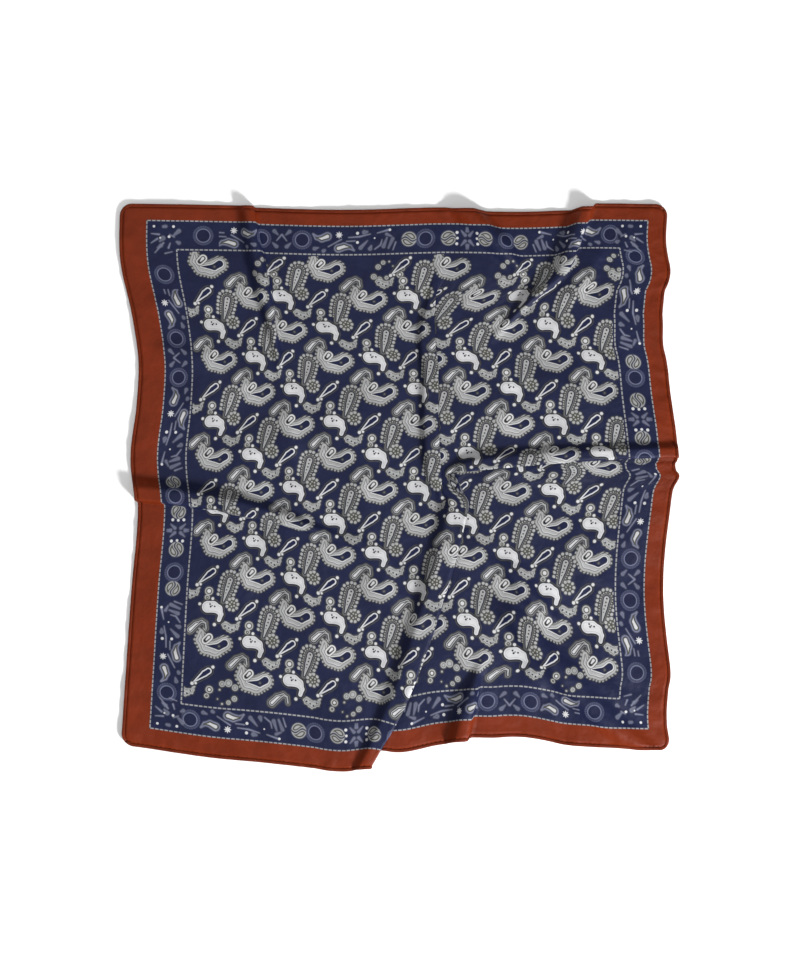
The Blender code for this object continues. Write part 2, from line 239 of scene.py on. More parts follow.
@dataclass(frozen=True)
class BowedLine:
    """A straight line with a bow, along which a fold or a crease runs."""

    start: Place
    end: Place
    bow: float

    def measure(self, x: np.ndarray, y: np.ndarray) -> Pair:
        """Measure places against the line.

        Args:
            x: Places, left to right.
            y: Places, bottom to top.

        Returns:
            The distance along the line, and the distance across it towards its left.
        """
        start, end = np.array(self.start), np.array(self.end)
        main, other = (1, 0) if abs(end[1] - start[1]) >= abs(end[0] - start[0]) else (0, 1)
        place = (x, y)
        share = (place[main] - start[main]) / (end[main] - start[main])
        held = np.clip(share, 0.0, 1.0)
        line = start[other] + (end[other] - start[other]) * share
        bowed = 4.0 * self.bow * held * (1.0 - held)
        return share * self.length, (place[other] - line) * self.left[other] - bowed

    @property
    def length(self) -> float:
        """The straight length."""
        return math.dist(self.start, self.end)

    @property
    def left(self) -> np.ndarray:
        """The unit direction to the line's left."""
        ahead = (np.array(self.end) - np.array(self.start)) / self.length
        return np.array((-ahead[1], ahead[0]))


@dataclass(frozen=True)
class FoldShape:
    """A fold with its worked-out section."""

    fold: Fold

    @property
    def line(self) -> BowedLine:
        """The line that the fold runs along."""
        return BowedLine(self.fold.start, self.fold.end, self.fold.bow)

    def section(self) -> tuple[np.ndarray, np.ndarray, np.ndarray, float, float]:
        """Work out the section across the fold, a chain of bends and straight stretches.

        Returns:
            Cloth length from the middle, height and cloth taken up there, and where the drop
            begins and ends.
        """
        fold = self.fold
        rise, drop = math.radians(fold.rise), math.radians(fold.drop)
        rise_bend = fold.bend * RISE_BEND_RATIO
        height = math.sin(drop) * fold.tuck + 2.0 * fold.bend * (1.0 - math.cos(drop))
        bends_rise = 2.0 * rise_bend * (1.0 - math.cos(rise))
        if bends_rise > height:
            rise_bend *= height / bends_rise
            bends_rise = height
        rise_run = (height - bends_rise) / math.sin(rise)
        stretches = (
            (0.0, rise, rise * rise_bend), (rise, rise, rise_run), (rise, 0.0, rise * rise_bend),
            (0.0, 0.0, fold.top), (0.0, -drop, drop * fold.bend), (-drop, -drop, fold.tuck),
            (-drop, 0.0, drop * fold.bend),
        )
        ends = np.cumsum([0.0] + [run for _, _, run in stretches])
        length = np.arange(0.0, ends[-1] + PROFILE_STEP, PROFILE_STEP)
        slope = np.zeros_like(length)
        for (first, last, run), begin in zip(stretches, ends):
            if run > 0.0:
                inside = (length >= begin) & (length <= begin + run)
                slope[inside] = first + (last - first) * (length[inside] - begin) / run
        step_up = np.sin(slope) * PROFILE_STEP
        falls = -step_up[step_up < 0.0].sum()
        step_up = np.where(step_up < 0.0, step_up * step_up[step_up > 0.0].sum() / falls, step_up)
        taken = np.cumsum((1.0 - np.cos(slope)) * PROFILE_STEP)
        middle = ends[-1] / 2.0
        return length - middle, np.cumsum(step_up), taken, ends[4] - middle, ends[-1] - middle

    def sizes(self, along: np.ndarray, met: Union[float, np.ndarray]) -> Pair:
        """Work out how wide and how steep the fold is along its line.

        Towards an end inside the cloth it narrows first and then flattens; towards an end at an
        edge it narrows less, so that the edge runs on smoothly.

        Args:
            along: Distances along the line.
            met: The fold's share beside the pleat that it runs up against.

        Returns:
            Its width and its steepness, as shares of its full ones.
        """
        fold = self.fold
        grown = smooth_step(along / fold.start_fade)
        left_over = smooth_step((self.line.length - along) / fold.end_fade)
        width, size = np.maximum(met, LEAST_WIDTH), met
        for at_end, fade in ((fold.start_size, grown), (fold.end_size, left_over)):
            share = at_end + (1.0 - at_end) * fade
            width = width * np.maximum(share, EDGE_WIDTH if at_end > 0.0 else LEAST_WIDTH)
            size = size * share
        return width, size / width

    def passed(self, x: np.ndarray, y: np.ndarray) -> np.ndarray:
        """Return 0 on the fold's rise side and 1 past its drop."""
        _, across = self.line.measure(x, y)
        _, _, _, drop_begins, drop_ends = self.section()
        return smooth_step((across - drop_begins) / (drop_ends + PASSING - drop_begins))


@dataclass(frozen=True)
class LaidCloth:
    """The shape of the laid cloth: folds, waved edges, creases, ripples and hem puckers."""

    seed: int = 11
    ripple_count: int = 9
    ripple_height: float = 0.0011
    ripple_lengths: Span = (0.060, 0.190)
    sway: float = 0.6                 # how far, and how fast, a ripple sways to and fro
    sway_pace: float = 0.37
    pucker_pitch: float = 0.0135
    pucker_height: float = 0.0013
    pucker_reach: float = 0.022
    pucker_widths: Span = (0.30, 0.62)      # widths and steps are shares of the pitch
    pucker_steps: Span = (0.75, 2.1)
    pucker_lifts: Span = (0.25, 1.0)        # a share of the height
    pucker_reaches: Span = (0.5, 1.3)       # a share of the reach
    pucker_leans: Span = (-0.5, 0.5)        # sideways for each metre inward

    def folded(self, x: np.ndarray, y: np.ndarray) -> tuple[np.ndarray, np.ndarray, np.ndarray]:
        """Carry flat places over the folds.

        Args:
            x: Places on the flat cloth, left to right.
            y: Places on the flat cloth, bottom to top.

        Returns:
            Their laid x, y and height.
        """
        shapes = {fold.name: FoldShape(fold) for fold in FOLDS}
        laid_x, laid_y, height = x.copy(), y.copy(), np.zeros_like(x)
        for shape in shapes.values():
            along, across = shape.line.measure(x, y)
            met: Union[float, np.ndarray] = 1.0
            if shape.fold.against:
                met = np.sqrt(shapes[shape.fold.against].passed(x, y))
            width, steepness = shape.sizes(along, met)
            section, lift, taken, _, _ = shape.section()
            lifted = np.interp(across / width, section, lift, left=0.0, right=0.0)
            height += width * steepness * lifted
            pull = width * steepness ** 2 * np.interp(across / width, section, taken)
            laid_x -= pull * shape.line.left[0]
            laid_y -= pull * shape.line.left[1]
        return laid_x, laid_y, height

    def waved(self, x: np.ndarray, y: np.ndarray) -> Pair:
        """Return how far the cloth near each edge is moved in x and y by that edge's table."""
        half_x, half_y = CLOTH_WIDTH / 2.0, CLOTH_LENGTH / 2.0
        right, left, top, bottom = (
            smooth_step(1.0 - inward / EDGE_REACH) * curve_through(edge, along)
            for inward, edge, along in ((half_x - x, RIGHT_EDGE, y), (x + half_x, LEFT_EDGE, y),
                                        (half_y - y, TOP_EDGE, x), (y + half_y, BOTTOM_EDGE, x)))
        return right - left, top - bottom

    def creased(self, x: np.ndarray, y: np.ndarray) -> np.ndarray:
        """Return the height of the listed creases at laid places."""
        height = np.zeros_like(x)
        for crease in CREASES:
            line = BowedLine(crease.start, crease.end, crease.bow)
            along, across = line.measure(x, y)
            reach = np.where(across > 0.0, crease.left_width, crease.right_width)
            ends = smooth_step(along / crease.start_fade)
            ends = ends * smooth_step((line.length - along) / crease.end_fade)
            height += crease.height * ends * np.exp(-(across / reach) ** 2 * 2.0)
        return height

    def rippled(self, x: np.ndarray, y: np.ndarray) -> np.ndarray:
        """Return the height of the slow ripples of silk that isn't pressed flat."""
        rng = np.random.default_rng(self.seed)
        total = np.zeros_like(x)
        for _ in range(self.ripple_count):
            turn = rng.uniform(0.0, math.pi)
            pace = 2.0 * math.pi / rng.uniform(*self.ripple_lengths)
            phase = rng.uniform(0.0, 2.0 * math.pi)
            across = x * math.sin(turn) - y * math.cos(turn)
            sway = self.sway * np.sin(pace * self.sway_pace * across + phase * 2.0)
            total += np.sin(pace * (x * math.cos(turn) + y * math.sin(turn)) + phase + sway)
        total /= math.sqrt(self.ripple_count)
        return self.ripple_height * (1.0 + np.tanh(total))

    def puckered(self, x: np.ndarray, y: np.ndarray) -> np.ndarray:
        """Return the height of the small uneven puckers that the hem draws into the cloth."""
        rng = np.random.default_rng(self.seed + 1)
        half_x, half_y = CLOTH_WIDTH / 2.0, CLOTH_LENGTH / 2.0
        height = np.zeros_like(x)
        sides = ((y, half_x - x), (y, x + half_x), (x, half_y - y), (x, y + half_y))
        for along, inward in sides:
            place = -half_x
            while place < half_x:
                width = rng.uniform(*self.pucker_widths) * self.pucker_pitch
                lift = self.pucker_height * rng.uniform(*self.pucker_lifts)
                reach = self.pucker_reach * rng.uniform(*self.pucker_reaches)
                lean = rng.uniform(*self.pucker_leans)
                across = along - place - lean * inward
                fade = np.exp(-np.clip(inward, 0.0, None) / reach)
                height += lift * fade * np.exp(-(across / width) ** 2)
                place += self.pucker_pitch * rng.uniform(*self.pucker_steps)
        return height

    def lay(self, flat: np.ndarray, fine: bool = True) -> np.ndarray:
        """Lay flat places out.

        Args:
            flat: Places on the flat cloth, x and y in the last axis.
            fine: Whether creases, ripples and puckers are added to the main folds.

        Returns:
            The underside of the laid cloth, x, y and z in the last axis.
        """
        x, y = flat[..., 0], flat[..., 1]
        laid_x, laid_y, height = self.folded(x, y)
        out_x, out_y = self.waved(x, y)
        laid_x, laid_y = laid_x + out_x, laid_y + out_y
        if fine:
            height = height + self.creased(laid_x, laid_y) + self.rippled(laid_x, laid_y)
            height = height + self.puckered(x, y)
        return np.stack((laid_x, laid_y, height), axis=-1)


def stations(half: float, reach: float) -> np.ndarray:
    """Return mesh stations from -half to half: rises on the negative side, drops on the other."""
    corner_begins = half - CORNER_RADIUS
    corner_cells = round(CORNER_RADIUS / OPEN_STEP)
    corner = np.linspace(corner_begins, half, corner_cells + 1)[1:]
    sides = []
    for step in (RISE_STEP, DROP_STEP):
        fine = np.linspace(0.0, reach, round(reach / step) + 1)[1:]
        cells = round((corner_begins - reach) / OPEN_STEP)
        open_cloth = np.linspace(reach, corner_begins, cells + 1)[1:]
        sides.append(np.concatenate((fine, open_cloth, corner)))
    rise_side, drop_side = sides
    return np.concatenate((-rise_side[::-1], (0.0,), drop_side))


def round_corners(x: np.ndarray, y: np.ndarray, half_x: float, half_y: float) -> np.ndarray:
    """Bring the corner cells of a flat rectangle onto round corners.

    Args:
        x: Places, left to right.
        y: Places, bottom to top.
        half_x: Half of the rectangle's width.
        half_y: Half of the rectangle's length.

    Returns:
        The moved places, x and y in the last axis.
    """
    over_x, over_y = (
        np.clip((np.abs(place) - (half - CORNER_RADIUS)) / CORNER_RADIUS, 0.0, 1.0)
        for place, half in ((x, half_x), (y, half_y)))
    moved = []
    for place, over, other in ((x, over_x, over_y), (y, over_y, over_x)):
        inward = over * (1.0 - np.sqrt(1.0 - other ** 2 / 2.0)) * CORNER_RADIUS
        moved.append(place - np.sign(place) * inward)
    return np.stack(moved, axis=-1)


def flat_grid() -> np.ndarray:
    """Return the flat x, y of the panel's mesh, whose lines follow the main pleats."""
    half_x = CLOTH_WIDTH / 2.0 - HEM_ROLL - SEAM_GAP
    half_y = CLOTH_LENGTH / 2.0 - HEM_ROLL - SEAM_GAP
    columns = stations(half_x, UPRIGHT_REACH)
    rows = -stations(half_y, LEVEL_REACH)[::-1]
    across, along = np.meshgrid(columns, rows)
    hold_x = np.clip(1.0 - np.abs(across) / (half_x - CORNER_RADIUS), 0.0, 1.0)
    hold_y = np.clip(1.0 - np.abs(along) / (half_y - CORNER_RADIUS), 0.0, 1.0)
    x = across + hold_x * curve_through(UPRIGHT_GUIDE, along)
    y = along + hold_y * curve_through(LEVEL_GUIDE, x)
    return round_corners(x, y, half_x, half_y)


# ---- The print, in millimetres from the middle of the cloth, +y towards the top ----
PRINT_MIDDLE = (4.5, 2.3)     # the frames stand a little off the cloth's own middle
OUTER_FRAME = 298.9           # half of the dashed outer frame; rust outside it
INNER_FRAME = 266.0           # half of the dashed inner frame
BAND_LINE = 282.5             # half of the line along the middle of the border band
DASH_PITCH = 5.2
DASH_SHARE = 0.74
DASH_WIDTH = 1.5
FIELD_ORIGIN = (-135.9, 105.8)
FIELD_ALONG = (0.7867, -0.6173)    # direction in which a row of paisleys steps down to the right
FIELD_ACROSS = (0.6173, 0.7867)
MOTIF_PITCH = 60.0
ROW_PITCH = 87.6
ROW_SLIP = -8.475             # a row starts this far along from the row below it
FRAME_CLEAR = 2.2             # the field ends this far inside the inner frame
BAND_TURN = 68.9              # place along each side about which the band's run is mirrored
BAND_FOLD = 209.0             # where the band's far part turns back

Number = Union[float, "Value"]
Inputs = dict[Union[int, str], object]
Colour = tuple[float, float, float, float]
NOWHERE = (0.0, 0.0, 0.0)
INNER_STOP = 4.0              # a motif's section begins this far inside its first band


class Disc(NamedTuple):
    """One disc of a motif."""

    x: float
    y: float
    radius: float


class Stem(NamedTuple):
    """A drawn stroke or leaf that tapers from its start to its end."""

    start: Place
    end: Place
    start_width: float
    end_width: float


Discs = tuple[Disc, ...]
Stems = tuple[Stem, ...]


class MotifPlace(NamedTuple):
    """The middle of a motif of the field, and how far inside the frame it has to stand."""

    middle: Place
    reach: float


class BeadRow(NamedTuple):
    """A row of beads round the leaf."""

    out: float                # how far it stands outside the leaf
    pitch: float
    bead: float               # the beads' radius


class BeadRing(NamedTuple):
    """A ring of beads in the flower."""

    radius: float
    count: float
    bead: float


class Filler(NamedTuple):
    """A small motif that fills the space along the frame."""

    start: float              # middle of its stretch of the frame
    body: Discs
    pair: Discs


def turned(x: float, y: float) -> Place:
    """Return a field place in the rows' own directions."""
    return (x * FIELD_ALONG[0] + y * FIELD_ALONG[1], x * FIELD_ACROSS[0] + y * FIELD_ACROSS[1])


def field_discs(*rows: Point) -> Discs:
    """Make discs of the field, turned into the rows' own directions."""
    return tuple(Disc(*turned(x, y), radius) for x, y, radius in rows)


class Ink(Enum):
    """The colours of the print, linear."""

    NAVY = (0.0080, 0.0105, 0.0340, 1.0)
    RUST = (0.1250, 0.0155, 0.0030, 1.0)
    WHITE = (0.420, 0.420, 0.430, 1.0)
    SILVER = (0.260, 0.262, 0.262, 1.0)
    GREY = (0.110, 0.112, 0.116, 1.0)
    BLUE_GREY = (0.120, 0.130, 0.200, 1.0)
    OLIVE = (0.050, 0.049, 0.040, 1.0)
    SHADE = (0.006, 0.007, 0.014, 1.0)


class Stop(NamedTuple):
    """One stop of a motif's section: distance from its outline (inside is negative), ink, cover."""

    distance: float
    ink: Ink
    cover: float


def section(*bands: tuple[float, Ink, float], edge: float = 0.45) -> tuple[Stop, ...]:
    """Make a motif's section from its bands.

    Args:
        bands: The outer limit, ink and cover of each band, from the inside outward.
        edge: Width of the soft change between two bands.

    Returns:
        The stops, two for each change.
    """
    stops = [Stop(bands[0][0] - INNER_STOP, bands[0][1], bands[0][2])]
    for inner, outer in zip(bands, bands[1:] + ((0.0, bands[-1][1], 0.0),)):
        stops.append(Stop(inner[0] - edge / 2.0, inner[1], inner[2]))
        stops.append(Stop(inner[0] + edge / 2.0, outer[1], outer[2]))
    return tuple(stops)


WHITE_BODY = section((-2.0, Ink.WHITE, 1.0), (-1.5, Ink.SILVER, 1.0), (0.0, Ink.WHITE, 1.0),
                     (1.1, Ink.SHADE, 0.55), (2.3, Ink.OLIVE, 0.75), edge=0.5)
LEAF_CORE = section((0.0, Ink.SILVER, 1.0), (1.1, Ink.SHADE, 0.9), (2.3, Ink.GREY, 0.8),
                    (3.4, Ink.OLIVE, 0.9), (5.4, Ink.SHADE, 0.35))
BEAD = section((0.0, Ink.SILVER, 1.0), (1.1, Ink.OLIVE, 0.45), edge=0.7)
WHITE_BEAD = section((0.0, Ink.WHITE, 1.0), (1.0, Ink.OLIVE, 0.5), edge=0.7)
SPECK = section((0.0, Ink.SHADE, 1.0), edge=0.5)
BUD = section((-2.6, Ink.WHITE, 1.0), (-1.4, Ink.OLIVE, 1.0), (0.0, Ink.SILVER, 1.0),
              (1.3, Ink.OLIVE, 0.55), edge=0.6)
SOFT_BUD = section((-1.5, Ink.SILVER, 1.0), (0.0, Ink.GREY, 1.0), (1.3, Ink.OLIVE, 0.55), edge=0.8)
FLOWER_FILL = section((0.0, Ink.OLIVE, 1.0), edge=1.0)
OUTLINED = section((-1.5, Ink.NAVY, 0.6), (0.0, Ink.WHITE, 1.0), (1.3, Ink.SHADE, 0.5),
                   (2.4, Ink.OLIVE, 0.7), edge=0.5)
SCALLOPED = section((-2.0, Ink.SILVER, 1.0), (-1.2, Ink.GREY, 1.0), (0.0, Ink.SILVER, 1.0),
                    (1.4, Ink.OLIVE, 0.5), edge=0.6)
KIDNEY = section((-4.1, Ink.SILVER, 1.0), (-3.1, Ink.WHITE, 0.85), (-2.5, Ink.OLIVE, 0.9),
                 (0.0, Ink.SILVER, 1.0), (1.2, Ink.OLIVE, 0.45), edge=0.6)
KIDNEY_DROP = section((-0.8, Ink.NAVY, 1.0), (0.0, Ink.SHADE, 1.0), (1.2, Ink.WHITE, 0.9),
                      (1.8, Ink.GREY, 0.9), (3.0, Ink.SILVER, 0.7), edge=0.5)
KIDNEY_EYE = section((-1.4, Ink.SHADE, 1.0), (-0.4, Ink.OLIVE, 1.0), (1.2, Ink.WHITE, 1.0),
                     (2.0, Ink.OLIVE, 0.8), edge=0.6)
EYE_CORE = section((0.0, Ink.WHITE, 1.0), edge=0.6)
RINGED_DROP = section((-1.9, Ink.WHITE, 1.0), (-1.1, Ink.SHADE, 1.0), (0.0, Ink.SILVER, 1.0),
                      (0.9, Ink.SHADE, 0.9), (1.9, Ink.GREY, 1.0), (3.2, Ink.OLIVE, 0.6), edge=0.5)
BAND_PAISLEY = section((-2.7, Ink.WHITE, 0.9), (-1.1, Ink.OLIVE, 0.9), (0.2, Ink.BLUE_GREY, 1.0),
                       (1.1, Ink.GREY, 0.35), edge=0.6)
BAND_DISC = section((-2.7, Ink.SILVER, 0.9), (-1.2, Ink.OLIVE, 0.9), (0.0, Ink.SILVER, 0.9),
                    (1.0, Ink.GREY, 0.25), edge=0.7)
BAND_STROKE = section((0.0, Ink.BLUE_GREY, 1.0), (0.8, Ink.GREY, 0.25), edge=0.6)
BAND_LEAF = section((-1.4, Ink.GREY, 0.7), (0.0, Ink.BLUE_GREY, 0.75), (0.9, Ink.GREY, 0.25),
                    edge=0.8)
BAND_STAR = section((0.0, Ink.WHITE, 1.0), edge=0.6)
BAND_RING = section((6.9, Ink.SHADE, 0.15), (8.1, Ink.BLUE_GREY, 0.85), (9.0, Ink.SHADE, 0.2),
                    edge=0.5)
FRAME_DASH = section((0.0, Ink.SILVER, 0.85), edge=0.6)
BAND_RAYS = section((-0.3, Ink.NAVY, 0.0), (0.9, Ink.BLUE_GREY, 0.35), edge=0.6)

# Motifs of the field, limbs that taper from disc to disc; millimetres from the white paisley.
GROUP_PLACE = MotifPlace((3.0, 10.0), 17.0)
TEARDROP_PLACE = MotifPlace((40.0, -1.5), 4.0)
BUD_PLACE = MotifPlace((22.0, -19.5), 5.0)
KIDNEY_PLACE = MotifPlace((2.6, -38.0), 12.0)
RINGED_PLACE = MotifPlace((-16.0, -20.0), 6.0)
WHITE_PAISLEY = field_discs(
    (-6.0, 1.3, 6.6), (0.0, 1.5, 6.2), (6.0, -1.0, 4.9), (9.4, -6.6, 2.6), (7.4, -12.9, 2.3))
PAISLEY_SPECKS = field_discs(
    (-3.4, 4.4, 1.0), (-2.6, 1.6, 1.1), (-1.0, 2.8, 0.7), (2.0, 2.0, 1.0))
LEAF = field_discs((18.6, 31.2, 3.1), (15.8, 21.6, 2.5), (11.8, 8.0, 0.5))
LEAF_SPECKS = field_discs(
    (18.8, 31.6, 1.0), (17.6, 27.6, 0.9), (16.6, 24.0, 0.9), (15.0, 20.6, 0.8), (14.2, 17.2, 0.6))
LEAF_HEAD = turned(18.4, 31.0)
LEAF_UP = turned(0.2800, 0.9600)
LEAF_SIDE = turned(0.9600, -0.2800)
LEAF_WIDTH = 3.0              # about which the rows of beads turn at the leaf's head
LEAF_FOOT = 20.0              # the rows of beads end this far below the leaf's head
PAST_FOOT = 4.0               # how fast they are drawn out beyond it
LEAF_BEADS = table(BeadRow, (7.0, 4.6, 1.75), (3.6, 2.7, 0.75))
FLOWER = turned(22.0, 4.6)
FLOWER_SIZE = 5.4
FLOWER_BEADS = table(BeadRing, (6.4, 9.0, 1.75), (2.6, 5.0, 1.0))
PAISLEY_BLEND = 2.0           # how softly the stretches of the limb run together
BUDS = field_discs((-5.2, 18.9, 4.8), (-7.0, 11.8, 3.1))
LOOSE_BEADS = field_discs((2.4, -18.2, 1.9), (-15.2, 4.4, 1.7), (-0.6, 10.6, 1.7))
TEARDROP = field_discs((45.4, 4.2, 3.7), (41.0, 0.9, 3.7), (29.6, -9.4, 0.9))
TEARDROP_BEADS = field_discs((27.8, -11.3, 1.9), (31.8, -10.6, 1.4), (50.2, 8.9, 1.8))
SCALLOPED_BUD = field_discs(
    (14.8, -18.6, 3.9), (20.8, -22.2, 4.2), (27.0, -20.2, 3.0), (30.6, -15.0, 0.8))
BUD_MIDDLE = turned(21.4, -17.2)
BUD_SCALLOPS = 13.0
SCALLOP_DEPTH = 2.0
SCALLOP_OUT = 0.7
SCALLOPED_SPECKS = field_discs(
    (14.6, -19.4, 1.0), (18.8, -21.4, 0.9), (22.6, -23.2, 1.0), (26.4, -20.2, 0.8))
KIDNEY_BODY = field_discs(
    (14.4, -39.2, 7.6), (4.2, -45.2, 7.9), (-6.0, -43.8, 7.0), (-12.6, -36.0, 4.9),
    (-12.0, -27.0, 3.0))
KIDNEY_MIDDLE = turned(2.6, -36.6)
KIDNEY_BLEND = 3.0
HOLLOW_BLEND = 1.5
KIDNEY_TEETH = 30.0
TOOTH_SPACE = 4.4
TOOTH_OUT = 0.9
TOOTH_SIZE = 1.45
KIDNEY_HOLLOW = field_discs((14.6, -38.6, 3.9), (8.2, -42.6, 3.4), (-5.6, -42.0, 0.3))
KIDNEY_DOT = field_discs((8.6, -42.0, 0.8))
EYE = field_discs((-3.0, -32.4, 3.1), (-7.0, -36.4, 2.9))
EYE_DROP = field_discs((-3.2, -32.4, 1.5), (-6.0, -35.6, 0.8))
RINGED = field_discs(
    (-24.9, -25.2, 3.3), (-18.6, -18.8, 2.8), (-12.0, -14.9, 1.4), (-7.6, -17.0, 0.8),
    (-6.6, -23.6, 0.8))

# Small fillers inside the frame; millimetres from the middle of the print.
FILLER_PITCH = 141.7
FILLERS = (
    Filler(-74.0,
           table(Disc, (-66.0, -254.4, 3.2), (-72.4, -259.0, 2.6), (-79.4, -261.0, 1.2),
                 (-84.6, -256.0, 0.8), (-82.6, -245.6, 1.2), (-80.0, -239.0, 3.4),
                 (-73.0, -237.6, 4.2), (-65.6, -242.2, 3.6)),
           table(Disc, (-94.0, -246.4, 4.2), (-96.8, -253.6, 2.8))),
    Filler(116.0,
           table(Disc, (110.0, 251.0, 3.2), (115.6, 256.0, 2.6), (122.4, 257.0, 1.2),
                 (126.6, 251.6, 0.8), (105.0, 239.6, 3.4), (111.0, 235.6, 4.0),
                 (119.4, 238.0, 2.4)),
           table(Disc, (134.4, 241.4, 4.0), (137.6, 248.4, 2.8), (175.0, 252.0, 3.6))),
)

# Motifs of the band; millimetres along it from its turning place, and outward from its middle.
OUTER_PAISLEY = table(
    Disc, (158.4, 4.6, 4.6), (164.6, 2.0, 3.9), (170.4, 2.8, 2.1), (174.4, 7.0, 0.7))
INNER_PAISLEY = table(
    Disc, (145.6, -9.0, 4.6), (139.4, -6.9, 4.2), (132.6, -7.6, 2.4), (128.0, -11.4, 0.7))
STAR = (145.2, 6.4)
STAR_SPIKES = 8.0
SPIKE_DEPTH = 4.6
STAR_SIZE = 4.1
BAND_STEMS = table(
    Stem,
    ((157.0, -7.2), (142.5, 1.3), 0.5, 0.7), ((136.6, -0.9), (127.0, -0.4), 0.5, 0.6),
    ((134.3, 3.6), (122.0, 4.4), 0.5, 0.8), ((122.0, 4.4), (110.1, 7.2), 0.8, 0.5),
    ((104.5, -10.4), (98.0, -5.6), 0.6, 0.8), ((98.0, -5.6), (96.5, 0.4), 0.8, 0.4),
    ((102.0, 8.2), (88.6, 11.6), 0.4, 1.1), ((84.0, -11.8), (81.0, -3.0), 0.5, 0.8),
    ((208.8, 5.4), (203.5, -1.6), 0.9, 0.4))
BAND_LEAVES = table(
    Stem,
    ((120.6, -8.6), (113.0, -0.4), 2.1, 0.5), ((109.8, -9.8), (108.6, -6.6), 2.2, 0.9),
    ((116.8, 9.4), (113.6, 9.8), 2.4, 1.2), ((94.6, -7.6), (91.0, 2.6), 2.0, 0.7),
    ((89.0, -9.4), (84.6, 1.0), 1.0, 1.9), ((91.6, 6.6), (86.0, 4.0), 1.6, 0.6),
    ((172.4, -9.8), (168.4, -8.6), 2.1, 0.6), ((162.4, -12.2), (161.4, -11.6), 1.9, 1.5),
    ((203.4, -8.4), (199.4, -4.4), 2.0, 0.6), ((200.6, 9.2), (204.6, 5.4), 2.0, 0.6))
BAND_DOTS = table(
    Disc, (124.2, -2.2, 1.6), (124.5, 8.4, 1.7), (88.0, 11.4, 1.4), (105.0, 2.4, 0.9),
    (12.0, -6.5, 1.7), (11.4, 0.0, 1.5), (12.0, 6.5, 1.7))
FLEUR_LEAVES = table(
    Stem,
    ((2.6, 3.4), (7.0, 8.4), 1.7, 0.5), ((2.6, -3.4), (7.0, -8.4), 1.7, 0.5),
    ((0.8, 8.0), (0.8, 12.4), 1.3, 0.5), ((0.8, -8.0), (0.8, -12.4), 1.3, 0.5))
RING_PLACES = (47.5, 186.5)
FAR_RING = 306.0
DISC_TURN = 43.8
DISC_PLACE = 22.3
DISC_RADIUS = 8.4
DISC_WAVE = 2.4               # the gap between the two beans waves this far to each side
DISC_WAVE_PACE = 0.36
DISC_GAP = 0.9
RING_RAYS = 24.0
RAY_RADIUS = 9.4              # middle of the rays, from the ring's own middle
RAY_REACH = 0.8
RAY_SPREAD = 3.4
RAY_WIDTH = 0.5
RING_REACH = 14.0             # the far ring is printed up to this far from its middle
CORNER_BEGINS = 256.0         # the corner spray is printed beyond this along both sides
NEAR_CORNER = 196.0           # beyond this, and beyond the far ring, only the corner spray is drawn
FAR_SPRAY = 289.0

# The corner spray; millimetres outward from the meeting of the two band lines.
CORNER_STEMS = table(
    Stem,
    ((-2.2, -9.0), (2.0, -14.0), 0.9, 0.7), ((2.0, -14.0), (7.6, -20.4), 0.7, 0.4),
    ((4.4, -4.3), (11.4, -9.3), 1.0, 0.4), ((2.6, 0.6), (11.0, 1.4), 0.9, 0.4),
    ((-9.4, -9.3), (-7.6, -14.6), 0.5, 0.9), ((-11.4, -19.0), (-3.6, -21.0), 0.4, 0.7),
    ((-9.0, 0.6), (-14.0, -2.2), 0.5, 0.5))
CORNER_LEAVES = table(
    Stem,
    ((0.6, -12.0), (4.4, -14.6), 2.0, 0.6), ((-13.0, -0.6), (-19.0, 4.8), 0.8, 2.2),
    ((-19.0, -8.8), (-16.8, -7.6), 2.0, 1.0), ((-1.6, -3.6), (1.6, -7.0), 2.6, 1.0),
    ((-4.6, 9.8), (-2.0, 9.6), 1.6, 1.4))
CORNER_DOTS = table(Disc, (-8.3, -1.8, 1.5), (-13.0, 9.8, 1.5), (8.4, 9.8, 1.4), (1.4, -3.2, 1.0))


def add_node(tree: bpy.types.NodeTree, kind: str, inputs: Inputs,
             **settings: object) -> bpy.types.Node:
    """Add a node to a tree.

    Args:
        tree: The tree.
        kind: The node's type.
        inputs: A plain value or another node's output for each socket, by index or name.
        settings: Properties of the node, set first.

    Returns:
        The node.
    """
    node = tree.nodes.new(kind)
    for name, setting in settings.items():
        setattr(node, name, setting)
    for key, given in inputs.items():
        if isinstance(given, bpy.types.NodeSocket):
            tree.links.new(given, node.inputs[key])
        else:
            node.inputs[key].default_value = given
    return node


def operator(operation: str, reflected: bool = False) -> Callable[..., "Value"]:
    """Make an operator of Value, or its reflected form, that adds one Math node."""
    def method(value: "Value", other: Number = 0.0) -> "Value":
        """Return the node's result."""
        first, second = (other, value) if reflected else (value, other)
        return value.tree.math(operation, first, second)
    return method


class Value:
    """A shader number or vector that Python's operators work on."""

    def __init__(self, tree: "MaterialTree", socket: bpy.types.NodeSocket) -> None:
        """Keep the tree and the socket that gives the value."""
        self.tree = tree
        self.socket = socket

    __add__, __radd__ = operator("ADD"), operator("ADD", reflected=True)
    __sub__, __rsub__ = operator("SUBTRACT"), operator("SUBTRACT", reflected=True)
    __mul__, __rmul__ = operator("MULTIPLY"), operator("MULTIPLY", reflected=True)
    __lt__, __gt__, __abs__ = operator("LESS_THAN"), operator("GREATER_THAN"), operator("ABSOLUTE")


